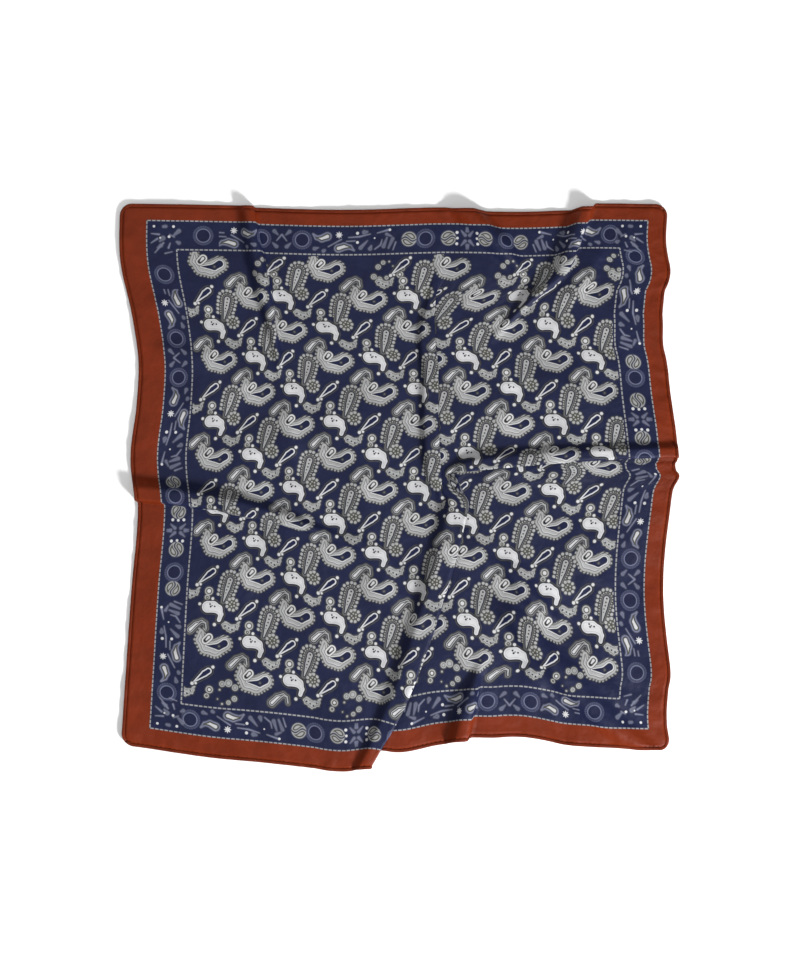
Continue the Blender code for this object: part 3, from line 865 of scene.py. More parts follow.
class MaterialTree:
    """A material's node tree and the few ways in which nodes are added to it."""

    def __init__(self, name: str) -> None:
        """Start an empty material."""
        self.material = bpy.data.materials.new(name)
        self.material.use_nodes = True
        self.tree = self.material.node_tree
        self.tree.nodes.clear()

    def node(self, kind: str, inputs: Inputs, **settings: object) -> bpy.types.Node:
        """Add a node, whose inputs may be Values too."""
        plain = {key: given.socket if isinstance(given, Value) else given
                 for key, given in inputs.items()}
        return add_node(self.tree, kind, plain, **settings)

    def value(self, kind: str, inputs: Inputs, output: Union[int, str] = 0,
              **settings: object) -> Value:
        """Add a node and return one of its outputs."""
        return Value(self, self.node(kind, inputs, **settings).outputs[output])

    def math(self, operation: str, first: Number, second: Number = 0.0, third: Number = 0.0,
             clamp: bool = False) -> Value:
        """Add a Math node and return its result."""
        return self.value("ShaderNodeMath", {0: first, 1: second, 2: third},
                          operation=operation, use_clamp=clamp)

    def vector(self, operation: str, first: object, second: object = NOWHERE) -> Value:
        """Add a Vector Math node and return its number or its vector, whichever it makes."""
        inputs = {0: first, "Scale" if operation == "SCALE" else 1: second}
        number = operation in ("DOT_PRODUCT", "DISTANCE", "LENGTH")
        return self.value("ShaderNodeVectorMath", inputs, "Value" if number else "Vector",
                          operation=operation)

    def point(self, x: Number, y: Number) -> Value:
        """Combine two numbers into a flat point."""
        return self.value("ShaderNodeCombineXYZ", {0: x, 1: y})

    def split(self, vector: Value) -> tuple[Value, Value]:
        """Return a vector's x and y."""
        node = self.node("ShaderNodeSeparateXYZ", {0: vector})
        return Value(self, node.outputs[0]), Value(self, node.outputs[1])

    def turns(self, offset: Value, count: float) -> Value:
        """Return the direction of an offset, counted in shares of a whole turn."""
        x, y = self.split(offset)
        return self.math("ARCTAN2", y, x) * (count / (2.0 * math.pi))

    def further(self, point: Value) -> Value:
        """Return how far a point is from the origin, along x or y, whichever is more."""
        return self.math("MAXIMUM", *self.split(self.vector("ABSOLUTE", point)))

    def mix(self, share: Number, first: object, second: object) -> Value:
        """Mix two colours."""
        return self.value("ShaderNodeMix", {0: share, 6: first, 7: second}, 2, data_type="RGBA")

    def noise(self, place: Value, scale: float, detail: float, roughness: float = 0.5,
              dimensions: str = "3D") -> Value:
        """Add a Noise Texture and return its strength."""
        inputs = {"Vector": place, "Scale": scale, "Detail": detail, "Roughness": roughness}
        return self.value("ShaderNodeTexNoise", inputs, noise_dimensions=dimensions)

    def ramp(self, place: Value, stops: Sequence[tuple[float, Colour]]) -> tuple[Value, Value]:
        """Add a Color Ramp and return its colour and its alpha."""
        node = self.node("ShaderNodeValToRGB", {0: place})
        elements = node.color_ramp.elements
        for index, (position, colour) in enumerate(stops):
            element = elements[index] if index < 2 else elements.new(position)
            element.position = position
            element.color = colour
        return Value(self, node.outputs["Color"]), Value(self, node.outputs["Alpha"])

    def surface(self, inputs: Inputs) -> bpy.types.Material:
        """Give the material its surface and return it."""
        shader = self.node("ShaderNodeBsdfPrincipled", inputs)
        self.node("ShaderNodeOutputMaterial", {"Surface": shader.outputs[0]})
        return self.material


class Painter:
    """Lays printed shapes over a ground colour, one after another."""

    def __init__(self, tree: MaterialTree, ground: Value) -> None:
        """Start from the ground colour."""
        self.tree = tree
        self.colour = ground

    def joined(self, shapes: Iterable[Value], how: str = "MINIMUM", blend: float = 0.0) -> Value:
        """Join distances from shapes, each made when its turn comes."""
        return reduce(lambda whole, away: self.tree.math(how, whole, away, blend), shapes)

    def limb(self, point: Value, discs: Discs, blend: float = 1.0) -> Value:
        """Return the distance from a smooth limb that tapers from disc to disc."""
        stems = (Stem(first[:2], last[:2], first.radius, last.radius)
                 for first, last in zip(discs, discs[1:]))
        return self.joined((self.stem(point, stem) for stem in stems), "SMOOTH_MIN", blend)

    def discs(self, point: Value, discs: Discs) -> Value:
        """Return the distance from the nearest of separate discs."""
        return self.joined(self.tree.vector("DISTANCE", point, (disc.x, disc.y, 0.0)) - disc.radius
                           for disc in discs)

    def stems(self, point: Value, stems: Stems) -> Value:
        """Return the distance from the nearest of some tapered strokes."""
        return self.joined(self.stem(point, stem) for stem in stems)

    def stem(self, point: Value, stem: Stem) -> Value:
        """Return the distance from one tapered stroke."""
        tree = self.tree
        run = (stem.end[0] - stem.start[0], stem.end[1] - stem.start[1])
        square = run[0] ** 2 + run[1] ** 2
        from_start = tree.vector("SUBTRACT", point, (*stem.start, 0.0))
        share = tree.vector("DOT_PRODUCT", from_start, (run[0] / square, run[1] / square, 0.0))
        share = tree.math("ADD", share, 0.0, clamp=True)
        on_line = tree.vector("SCALE", (*run, 0.0), share)
        width = tree.math("MULTIPLY_ADD", share, stem.end_width - stem.start_width,
                          stem.start_width)
        return tree.vector("DISTANCE", from_start, on_line) - width

    def lay(self, distance: Value, stops: Sequence[Stop], shown: Value) -> None:
        """Print a shape over what is there.

        Args:
            distance: Distance from the shape's outline, inside is negative.
            stops: The shape's section.
            shown: 1 where the shape is printed and 0 where it is left out.
        """
        first, span = stops[0].distance, stops[-1].distance - stops[0].distance
        place = self.tree.math("MULTIPLY_ADD", distance, 1.0 / span, -first / span)
        colours = [((stop.distance - first) / span, (*stop.ink.value[:3], stop.cover))
                   for stop in stops]
        colour, cover = self.tree.ramp(place, colours)
        self.colour = self.tree.mix(cover * shown, self.colour, colour)


@dataclass(frozen=True)
class Cell:
    """A stretch of the print on which a motif's shapes are laid."""

    painter: Painter
    point: Value
    shown: Value

    def lay(self, distance: Value, stops: Sequence[Stop]) -> None:
        """Lay a shape, given the distance from its outline."""
        self.painter.lay(distance, stops, self.shown)

    def limb(self, discs: Discs, stops: Sequence[Stop], blend: float = 1.0) -> None:
        """Lay a limb."""
        self.lay(self.painter.limb(self.point, discs, blend), stops)

    def discs(self, discs: Discs, stops: Sequence[Stop]) -> None:
        """Lay separate discs."""
        self.lay(self.painter.discs(self.point, discs), stops)

    def stems(self, stems: Stems, stops: Sequence[Stop]) -> None:
        """Lay tapered strokes."""
        self.lay(self.painter.stems(self.point, stems), stops)


class FieldPrint:
    """The paisley field inside the inner frame, whose motifs repeat along slanting rows."""

    def __init__(self, tree: MaterialTree, painter: Painter, framed: Value) -> None:
        """Take the print's flat point, measured from the middle of the frames."""
        self.tree = tree
        self.painter = painter
        self.framed = framed
        start = (FIELD_ORIGIN[0] - PRINT_MIDDLE[0], FIELD_ORIGIN[1] - PRINT_MIDDLE[1], 0.0)
        from_start = tree.vector("SUBTRACT", framed, start)
        self.inside = tree.further(framed) < INNER_FRAME - FRAME_CLEAR
        self.along = tree.vector("DOT_PRODUCT", from_start, (*FIELD_ALONG, 0.0))
        self.across = tree.vector("DOT_PRODUCT", from_start, (*FIELD_ACROSS, 0.0))

    def wrapped(self, place: Value, middle: float, pitch: float) -> Value:
        """Bring a place to the stretch around a middle by whole steps of a pitch."""
        return self.tree.math("WRAP", place, middle + pitch / 2.0, middle - pitch / 2.0)

    def cell(self, motif: MotifPlace) -> Cell:
        """Bring the field to the cell around one motif, in the rows' directions."""
        tree = self.tree
        along, across = turned(*motif.middle)
        near_across = self.wrapped(self.across, across, ROW_PITCH)
        slip = tree.math("MULTIPLY_ADD", self.across - near_across, -ROW_SLIP / ROW_PITCH,
                         self.along)
        point = tree.point(self.wrapped(slip, along, MOTIF_PITCH), near_across)
        offset = tree.vector("SUBTRACT", point, (along, across, 0.0))
        back = tree.point(
            tree.vector("DOT_PRODUCT", offset, (FIELD_ALONG[0], FIELD_ACROSS[0], 0.0)),
            tree.vector("DOT_PRODUCT", offset, (FIELD_ALONG[1], FIELD_ACROSS[1], 0.0)))
        middle = tree.further(tree.vector("SUBTRACT", self.framed, back))
        return Cell(self.painter, point, (middle < INNER_FRAME - motif.reach) * self.inside)

    def from_middle(self, cell: Cell, middle: Place) -> Value:
        """Return the offset from a middle in a cell."""
        return self.tree.vector("SUBTRACT", cell.point, (*middle, 0.0))

    def beads_round(self, cell: Cell, ring: BeadRing) -> None:
        """Lay a ring of beads round the flower."""
        tree = self.tree
        petal = tree.turns(self.from_middle(cell, FLOWER), ring.count)
        along = tree.math("PINGPONG", petal, 0.5) * (2.0 * math.pi * ring.radius / ring.count)
        out = tree.vector("DISTANCE", cell.point, (*FLOWER, 0.0)) - ring.radius
        cell.lay(tree.vector("LENGTH", tree.point(along, out)) - ring.bead, BEAD)

    def leaf_beads(self, cell: Cell, leaf: Value, row: BeadRow) -> None:
        """Lay a row of beads that runs up, round and down the leaf."""
        tree = self.tree
        offset = self.from_middle(cell, LEAF_HEAD)
        side = abs(tree.vector("DOT_PRODUCT", offset, (*LEAF_SIDE, 0.0)))
        up = tree.vector("DOT_PRODUCT", offset, (*LEAF_UP, 0.0))
        turn = tree.math("ARCTAN2", tree.math("MAXIMUM", up, 0.0), side)
        run = tree.math("MULTIPLY_ADD", turn, row.out + LEAF_WIDTH, tree.math("MINIMUM", up, 0.0))
        along = tree.math("PINGPONG", run, row.pitch / 2.0)
        below = tree.math("MULTIPLY_ADD", up, -PAST_FOOT, -PAST_FOOT * LEAF_FOOT)
        along = along + tree.math("MAXIMUM", below, 0.0)
        cell.lay(tree.vector("LENGTH", tree.point(along, leaf - row.out)) - row.bead, BEAD)

    def draw_paisley_group(self) -> None:
        """Draw the white paisley with its beaded leaf, flower, buds and loose beads."""
        cell = self.cell(GROUP_PLACE)
        leaf = self.painter.limb(cell.point, LEAF)
        cell.lay(leaf, LEAF_CORE)
        for row in LEAF_BEADS:
            self.leaf_beads(cell, leaf, row)
        cell.discs(LEAF_SPECKS, SPECK)
        cell.discs(BUDS, BUD)
        flower = self.tree.vector("DISTANCE", cell.point, (*FLOWER, 0.0))
        cell.lay(flower - FLOWER_SIZE, FLOWER_FILL)
        for ring in FLOWER_BEADS:
            self.beads_round(cell, ring)
        cell.limb(WHITE_PAISLEY, WHITE_BODY, PAISLEY_BLEND)
        cell.discs(PAISLEY_SPECKS, SPECK)
        cell.discs(LOOSE_BEADS, WHITE_BEAD)

    def draw_teardrop(self) -> None:
        """Draw the outlined teardrop with its beads."""
        cell = self.cell(TEARDROP_PLACE)
        cell.limb(TEARDROP, OUTLINED)
        cell.discs(TEARDROP_BEADS, WHITE_BEAD)

    def draw_scalloped_bud(self) -> None:
        """Draw the small scalloped bud."""
        tree, cell = self.tree, self.cell(BUD_PLACE)
        bud = self.painter.limb(cell.point, SCALLOPED_BUD)
        petal = tree.turns(self.from_middle(cell, BUD_MIDDLE), BUD_SCALLOPS)
        petal = tree.math("PINGPONG", petal, 0.5)
        scallop = tree.math("MULTIPLY_ADD", petal, SCALLOP_DEPTH, bud)
        cell.lay(scallop - SCALLOP_OUT, SCALLOPED)
        cell.discs(SCALLOPED_SPECKS, SPECK)

    def draw_kidney(self) -> None:
        """Draw the toothed kidney with its dark hollow and its eye."""
        tree, cell = self.tree, self.cell(KIDNEY_PLACE)
        body = self.painter.limb(cell.point, KIDNEY_BODY, KIDNEY_BLEND)
        petal = tree.turns(self.from_middle(cell, KIDNEY_MIDDLE), KIDNEY_TEETH)
        petal = tree.math("PINGPONG", petal, 0.5)
        tooth = tree.point(petal * TOOTH_SPACE, body - TOOTH_OUT)
        cell.lay(tree.vector("LENGTH", tooth) - TOOTH_SIZE, BEAD)
        cell.lay(body, KIDNEY)
        cell.limb(KIDNEY_HOLLOW, KIDNEY_DROP, HOLLOW_BLEND)
        cell.discs(KIDNEY_DOT, SOFT_BUD)
        cell.limb(EYE, KIDNEY_EYE)
        cell.limb(EYE_DROP, EYE_CORE)

    def draw_fillers(self) -> None:
        """Draw the small drops and buds that fill the space along the lower and upper frame."""
        x, y = self.tree.split(self.framed)
        for filler in FILLERS:
            point = self.tree.point(self.wrapped(x, filler.start, FILLER_PITCH), y)
            cell = Cell(self.painter, point, self.inside)
            cell.discs(filler.body, SCALLOPED)
            cell.discs(filler.pair, BUD)

    def draw(self) -> None:
        """Draw the whole field."""
        self.draw_fillers()
        self.cell(RINGED_PLACE).limb(RINGED, RINGED_DROP)
        self.draw_kidney()
        self.draw_scalloped_bud()
        self.draw_teardrop()
        self.draw_paisley_group()


class BandPrint:
    """The ornamental band between the two dashed frames, and the frames themselves."""

    def __init__(self, tree: MaterialTree, painter: Painter, framed: Value) -> None:
        """Work out the band's own directions: along each side, and outward from its middle."""
        self.tree = tree
        self.painter = painter
        x, y = tree.split(framed)
        self.far_x, self.far_y = abs(x), abs(y)
        self.out = tree.math("MAXIMUM", self.far_x, self.far_y)
        self.side = tree.math("DIVIDE", x * y, self.out)

    def draw_frames(self) -> None:
        """Draw the two dashed frames."""
        tree = self.tree
        dash = tree.math("PINGPONG", self.side, DASH_PITCH / 2.0)
        gap = tree.math("MULTIPLY_ADD", dash, 1.0, -DASH_PITCH * DASH_SHARE / 2.0)
        for half in (OUTER_FRAME, INNER_FRAME):
            line = tree.math("MAXIMUM", abs(self.out - half) - DASH_WIDTH / 2.0, gap)
            shown = tree.math("MINIMUM", self.far_x, self.far_y) < half
            self.painter.lay(line, FRAME_DASH, shown)

    def folded(self) -> tuple[Value, Value]:
        """Return the band's folded run, and where its own motifs are printed."""
        tree = self.tree
        from_turn = BAND_TURN - self.side
        run = abs(from_turn)
        folded = tree.math("MINIMUM", run, 2.0 * BAND_FOLD - run)
        near = tree.math("MAXIMUM", from_turn > 0.0, run < NEAR_CORNER)
        return folded, near * (run < FAR_SPRAY) * (self.out > INNER_FRAME)

    def draw_rings(self, run: Value, outward: Value, shown: Value) -> None:
        """Draw the rings with their fine rays."""
        tree = self.tree
        near = tree.math("MINIMUM", abs(run - RING_PLACES[0]), abs(run - RING_PLACES[1]))
        far = abs(tree.math("SUBTRACT", BAND_TURN - FAR_RING, self.side))
        away = tree.math("MINIMUM", near, far)
        radius = tree.vector("LENGTH", tree.point(away, outward))
        shown = tree.math("MAXIMUM", shown, (far < RING_REACH) * (self.out > INNER_FRAME))
        ray = tree.math("ARCTAN2", away, outward) * (RING_RAYS / (2.0 * math.pi))
        ray = tree.math("MULTIPLY_ADD", tree.math("PINGPONG", ray, 0.5), RAY_SPREAD, -RAY_WIDTH)
        self.painter.lay(tree.math("MAXIMUM", abs(radius - RAY_RADIUS) - RAY_REACH, ray),
                         BAND_RAYS, shown)
        self.painter.lay(radius, BAND_RING, shown)

    def draw_discs(self, run: Value, outward: Value, shown: Value) -> None:
        """Draw the discs of two beans that lie head to tail."""
        tree = self.tree
        place = abs(run - DISC_TURN) - DISC_PLACE
        whole = tree.vector("LENGTH", tree.point(place, outward)) - DISC_RADIUS
        wave = tree.math("SINE", place * DISC_WAVE_PACE) * DISC_WAVE
        gap = abs(outward - wave) - DISC_GAP
        self.painter.lay(tree.math("MAXIMUM", whole, 0.0 - gap), BAND_DISC, shown)

    def draw_motifs(self, cell: Cell) -> None:
        """Draw the paisleys, the star, stems, leaves and dots along the band."""
        tree = self.tree
        cell.stems(BAND_LEAVES + FLEUR_LEAVES, BAND_LEAF)
        cell.stems(BAND_STEMS, BAND_STROKE)
        cell.limb(OUTER_PAISLEY, BAND_PAISLEY)
        cell.limb(INNER_PAISLEY, BAND_PAISLEY)
        cell.discs(BAND_DOTS, BAND_STAR)
        offset = tree.vector("SUBTRACT", cell.point, (*STAR, 0.0))
        spike = tree.math("PINGPONG", tree.turns(offset, STAR_SPIKES), 0.5)
        radius = tree.vector("LENGTH", offset)
        cell.lay(tree.math("MULTIPLY_ADD", spike, SPIKE_DEPTH, radius) - STAR_SIZE, BAND_STAR)

    def draw_corners(self) -> None:
        """Draw the spray in each corner."""
        tree = self.tree
        point = tree.point(self.far_x - BAND_LINE, self.far_y - BAND_LINE)
        in_corner = tree.math("MINIMUM", self.far_x, self.far_y) > CORNER_BEGINS
        cell = Cell(self.painter, point, in_corner * (self.out > INNER_FRAME))
        cell.stems(CORNER_LEAVES, BAND_LEAF)
        cell.stems(CORNER_STEMS, BAND_STROKE)
        cell.discs(CORNER_DOTS, BAND_STAR)

    def draw(self) -> None:
        """Draw the whole band."""
        run, shown = self.folded()
        outward = self.out - BAND_LINE
        self.draw_rings(run, outward, shown)
        self.draw_discs(run, outward, shown)
        self.draw_motifs(Cell(self.painter, self.tree.point(run, outward), shown))
        self.draw_corners()
        self.draw_frames()


@dataclass(frozen=True)
class Satin:
    """The silk's own surface: a fine twill with a soft shine."""

    roughness: float = 0.46
    roughness_change: float = 0.10
    specular: float = 0.10
    mottle_pace: float = 26.0         # mottles per metre
    mottle_least: float = 0.72        # how dark a mottle is, and how much paler others are
    mottle_change: float = 0.56
    mottle_detail: tuple[float, float] = (4.0, 0.6)      # detail and roughness of the noise
    crumple_pace: float = 70.0
    crumple_detail: tuple[float, float] = (2.0, 0.45)
    twill_pitch: float = 0.9          # millimetres
    twill_height: float = 0.00003
    crumple_height: float = 0.0011

    def dress(self, tree: MaterialTree, colour: Value, flat: Value) -> bpy.types.Material:
        """Finish a material.

        Args:
            tree: The material's tree.
            colour: The silk's colour.
            flat: The place on the flat cloth, millimetres.

        Returns:
            The material.
        """
        metres = tree.vector("SCALE", flat, MILLIMETRE)
        mottle = tree.noise(metres, self.mottle_pace, *self.mottle_detail, "2D")
        shade = tree.math("MULTIPLY_ADD", mottle, self.mottle_change, self.mottle_least)
        tinted = tree.vector("SCALE", colour, shade)
        crumple = tree.noise(metres, self.crumple_pace, *self.crumple_detail, "2D")
        pace = math.pi / self.twill_pitch
        weave = tree.math("SINE", tree.vector("DOT_PRODUCT", flat, (pace, -pace, 0.0)) * 2.0)
        height = tree.math("MULTIPLY_ADD", crumple, self.crumple_height, weave * self.twill_height)
        bump = tree.value("ShaderNodeBump", {"Strength": 1.0, "Distance": 1.0, "Height": height})
        return tree.surface({
            "Base Color": tinted,
            "Roughness": tree.math("MULTIPLY_ADD", mottle, self.roughness_change,
                                   self.roughness - self.roughness_change / 2.0),
            "Specular IOR Level": self.specular,
            "Normal": bump,
        })


@dataclass(frozen=True)
class PrintedSilk:
    """The panel's finish: navy silk with a rust edge and the paisley print."""

    name: str = "printed_silk"
    satin: Satin = Satin()
    reverse_show: float = 0.55        # how much of the print shows through on the reverse
    rust_begins: float = 0.3          # millimetres outside the outer frame
    rust_change: float = 0.5          # millimetres over which navy turns to rust

    def flat_place(self, tree: MaterialTree) -> Value:
        """Return the place on the flat cloth, in millimetres from its middle, from its UV map."""
        stored = tree.value("ShaderNodeUVMap", {}, uv_map=Panel.FLAT_LAYER)
        middle = tree.vector("SUBTRACT", stored, (0.5, 0.5, 0.0))
        size = (CLOTH_WIDTH / MILLIMETRE, CLOTH_LENGTH / MILLIMETRE, 0.0)
        return tree.vector("MULTIPLY", middle, size)

    def material(self) -> bpy.types.Material:
        """Build the material."""
        tree = MaterialTree(self.name)
        flat = self.flat_place(tree)
        framed = tree.vector("SUBTRACT", flat, (*PRINT_MIDDLE, 0.0))
        painter = Painter(tree, tree.mix(0.0, Ink.NAVY.value, Ink.NAVY.value))
        band = BandPrint(tree, painter, framed)
        FieldPrint(tree, painter, framed).draw()
        band.draw()
        rust = tree.math("MULTIPLY_ADD", band.out - OUTER_FRAME, 1.0 / self.rust_change,
                         -self.rust_begins / self.rust_change, clamp=True)
        printed = tree.mix(rust, painter.colour, Ink.RUST.value)
        reverse = tree.value("ShaderNodeAttribute", {}, "Fac", attribute_name=Panel.REVERSE_LAYER)
        ground_only = tree.mix(rust, Ink.NAVY.value, Ink.RUST.value)
        faded = tree.mix(self.reverse_show, ground_only, printed)
        return self.satin.dress(tree, tree.mix(reverse, printed, faded), flat)


@dataclass(frozen=True)
class HemFinish:
    """The finish of the rolled hems, whose rust is painted darker in patches as painted shade, or
    of the thread that they are sewn with.
    """

    name: str
    satin: Satin
    # Painted shade: the first colour is the hem's rust painted darker than the cloth's for the
    # shaded rolled edge; the second is the plain rust where noise lifts that painted shade.
    colour: Colour
    unshaded_colour: Colour
    shade_patch_pace: float = 160.0          # patches of painted shade per metre

    def material(self) -> bpy.types.Material:
        """Build the material."""
        tree = MaterialTree(self.name)
        place = tree.value("ShaderNodeTexCoord", {}, "Object")
        millimetres = tree.vector("SCALE", place, 1.0 / MILLIMETRE)
        # Painted shade in patches: noise mixes the darker and the plain rust.
        painted_shade_lift = tree.noise(place, self.shade_patch_pace, 3.0)
        return self.satin.dress(tree, tree.mix(painted_shade_lift, self.colour, self.unshaded_colour), millimetres)


# Painted shade: the hem silk's rust is darker than the cloth's, with patches of plain rust; the
# thread has one colour.
HEM_SILK = HemFinish("hem_silk", Satin(roughness=0.52, twill_height=0.00002, crumple_height=0.0008),
                     (0.085, 0.0110, 0.0024, 1.0), (0.125, 0.0165, 0.0034, 1.0))
HEM_THREAD = HemFinish("hem_thread", Satin(roughness=0.6),
                       (0.095, 0.0125, 0.0028, 1.0), (0.095, 0.0125, 0.0028, 1.0))


@dataclass(frozen=True)
class PaleFloor:
    """The finish of the surface that the scarf lies on."""

    name: str = "pale_floor"
    colour: Colour = (0.97, 0.97, 0.97, 1.0)
    grain: Colour = (0.9506, 0.9506, 0.9506, 1.0)
    grain_pace: float = 900.0         # grains per metre
    roughness: float = 0.8
    specular: float = 0.2

    def material(self) -> bpy.types.Material:
        """Build the material."""
        tree = MaterialTree(self.name)
        place = tree.value("ShaderNodeTexCoord", {}, "Object")
        colour = tree.mix(tree.noise(place, self.grain_pace, 2.0), self.colour, self.grain)
        return tree.surface({"Base Color": colour, "Roughness": self.roughness,
                             "Specular IOR Level": self.specular})


def add_object(name: str, data: bpy.types.ID) -> bpy.types.Object:
    """Put an object with its data into the scene."""
    made = bpy.data.objects.new(name, data)
    bpy.context.scene.collection.objects.link(made)
    return made


def mesh_object(name: str, points: np.ndarray, faces: Sequence[Sequence[int]],
                material: bpy.types.Material) -> bpy.types.Object:
    """Make a smooth mesh object at the origin.

    Args:
        name: The object's name.
        points: The mesh's points.
        faces: Point numbers of each face, turned to point outward.
        material: The finish.

    Returns:
        The object.
    """
    mesh = bpy.data.meshes.new(name)
    mesh.from_pydata([tuple(point) for point in points.tolist()], [], faces)
    mesh.polygons.foreach_set("use_smooth", [True] * len(mesh.polygons))
    mesh.materials.append(material)
    mesh.validate()
    return add_object(name, mesh)


def edge_run(quarter: int) -> Pair:
    """Return the panel's flat edge on one side, and the direction outward along it.

    Args:
        quarter: Quarter turns from the bottom edge.

    Returns:
        The edge's places and their unit directions, x and y in the last axis.
    """
    run = np.rot90(flat_grid(), quarter)[0]
    along = np.gradient(run, axis=0)
    return run, unit(np.stack((along[:, 1], -along[:, 0]), axis=-1))


@dataclass
class Panel:
    """The printed panel: a thin closed shell on its solid's form."""

    cloth: LaidCloth
    shift: np.ndarray
    wall: float = SILK_WALL
    name: str = "scarf_cloth"

    FLAT_LAYER = "flat_cloth"
    REVERSE_LAYER = "reverse"

    def build(self, material: bpy.types.Material) -> bpy.types.Object:
        """Build the panel's mesh.

        Args:
            material: The panel's finish.

        Returns:
            The panel.
        """
        flat = flat_grid()
        rows, columns = flat.shape[:2]
        under = self.cloth.lay(flat) + self.shift
        along_row = np.gradient(under, axis=1)
        along_column = np.gradient(under, axis=0)
        upward = unit(np.cross(along_row, along_column))
        under[..., 2] += (SOLID_WALL - self.wall) * 0.5
        over = under + upward * self.wall
        number = np.arange(rows * columns).reshape(rows, columns)
        quads = np.stack((number[:-1, :-1], number[:-1, 1:], number[1:, 1:], number[1:, :-1]),
                         axis=-1).reshape(-1, 4)
        count = rows * columns
        rim = np.concatenate((number[0, :-1], number[:-1, -1], number[-1, :0:-1], number[:0:-1, 0]))
        following = np.roll(rim, -1)
        walls = np.stack((rim, following, following + count, rim + count), axis=-1)
        faces = np.concatenate((quads + count, quads[:, ::-1], walls)).tolist()
        points = np.concatenate((under.reshape(-1, 3), over.reshape(-1, 3)))
        panel = mesh_object(self.name, points, faces, material)
        self.store_flat(panel.data, flat.reshape(-1, 2), count)
        return panel

    def store_flat(self, mesh: bpy.types.Mesh, flat: np.ndarray, count: int) -> None:
        """Keep each point's place on the flat cloth, and which side it is on."""
        share = flat / np.array((CLOTH_WIDTH, CLOTH_LENGTH)) + 0.5
        corners = np.empty(len(mesh.loops), dtype=np.int32)
        mesh.loops.foreach_get("vertex_index", corners)
        layer = mesh.uv_layers.new(name=self.FLAT_LAYER)
        layer.data.foreach_set("uv", share[corners % count].astype(np.float32).ravel())
        reverse = mesh.attributes.new(self.REVERSE_LAYER, "FLOAT", "POINT")
        side = np.concatenate((np.ones(count), np.zeros(count))).astype(np.float32)
        reverse.data.foreach_set("value", side)


@dataclass
class Hem:
    """A narrow hem, rolled and sewn along one edge of the cloth."""

    name: str
    quarter: int                      # quarter turns from the bottom edge
    cloth: LaidCloth
    shift: np.ndarray
    points_round: int = 12
    squareness: float = 0.82
    flatness: float = 0.82            # height of the pressed roll, as a share of its full height
    thin_share: float = 0.12          # how much the roll's thickness wanders
    thin_lengths: Point = (0.035, 0.0161, 0.0665)    # lengths over which it wanders
    corner_lap: float = 0.0005        # how far two hems run into each other at a corner
    seed: int = 5

    def rings(self) -> np.ndarray:
        """Return the hem's rings along the edge, points in order round each ring."""
        run, outward = edge_run(self.quarter)
        for corner in (0, -1):
            outward[corner] = unit(np.sign(run[corner]))
        seam = self.cloth.lay(run + outward * SEAM_GAP)
        rim = self.cloth.lay(run + outward * (SEAM_GAP + HEM_ROLL))
        upward = unit(np.cross(rim - seam, np.gradient(seam, axis=0)))
        length = np.concatenate(((0.0,), np.cumsum(np.linalg.norm(np.diff(run, axis=0), axis=1))))
        rng = np.random.default_rng(self.seed + self.quarter)
        wander = sum(np.sin(length * 2.0 * math.pi / thin + rng.uniform(0.0, 2.0 * math.pi))
                     for thin in self.thin_lengths) / len(self.thin_lengths)
        fullness = self.flatness - self.thin_share * (1.0 + wander) / 2.0
        rings = []
        for step in range(self.points_round):
            angle = 2.0 * math.pi * step / self.points_round
            turn = np.array((-math.cos(angle), math.sin(angle)))
            turn = np.sign(turn) * np.abs(turn) ** self.squareness * 0.5
            reach = SEAM_GAP - SEAM_LAP + (0.5 + turn[0]) * (HEM_ROLL + SEAM_LAP)
            place = self.cloth.lay(run + outward * reach)
            rise = (turn[1] * fullness + 0.5 * fullness) * HEM_HEIGHT
            rings.append(place + upward * rise[:, None])
        rings = np.stack(rings, axis=1)
        for corner, beside in ((0, 1), (-1, -2)):
            inward = unit(rings[beside].mean(axis=0) - rings[corner].mean(axis=0))
            rings[corner] -= inward * self.corner_lap
        return rings + self.shift

    def build(self, material: bpy.types.Material) -> bpy.types.Object:
        """Build the hem's mesh, closed at both ends."""
        rings = self.rings()
        count, around = rings.shape[:2]
        number = np.arange(count * around).reshape(count, around)
        next_round = np.roll(number, -1, axis=1)
        sides = np.stack((number[:-1], next_round[:-1], next_round[1:], number[1:]), axis=-1)
        faces = sides.reshape(-1, 4).tolist()
        faces.append(number[0][::-1].tolist())
        faces.append(number[-1].tolist())
        return mesh_object(self.name, rings.reshape(-1, 3), faces, material)

    def stitch_line(self) -> np.ndarray:
        """Return the line of the hem's stitches, on top of the roll's inner side."""
        rings = self.rings()
        upper_inner = self.points_round // 6
        return rings[1:-1, upper_inner]


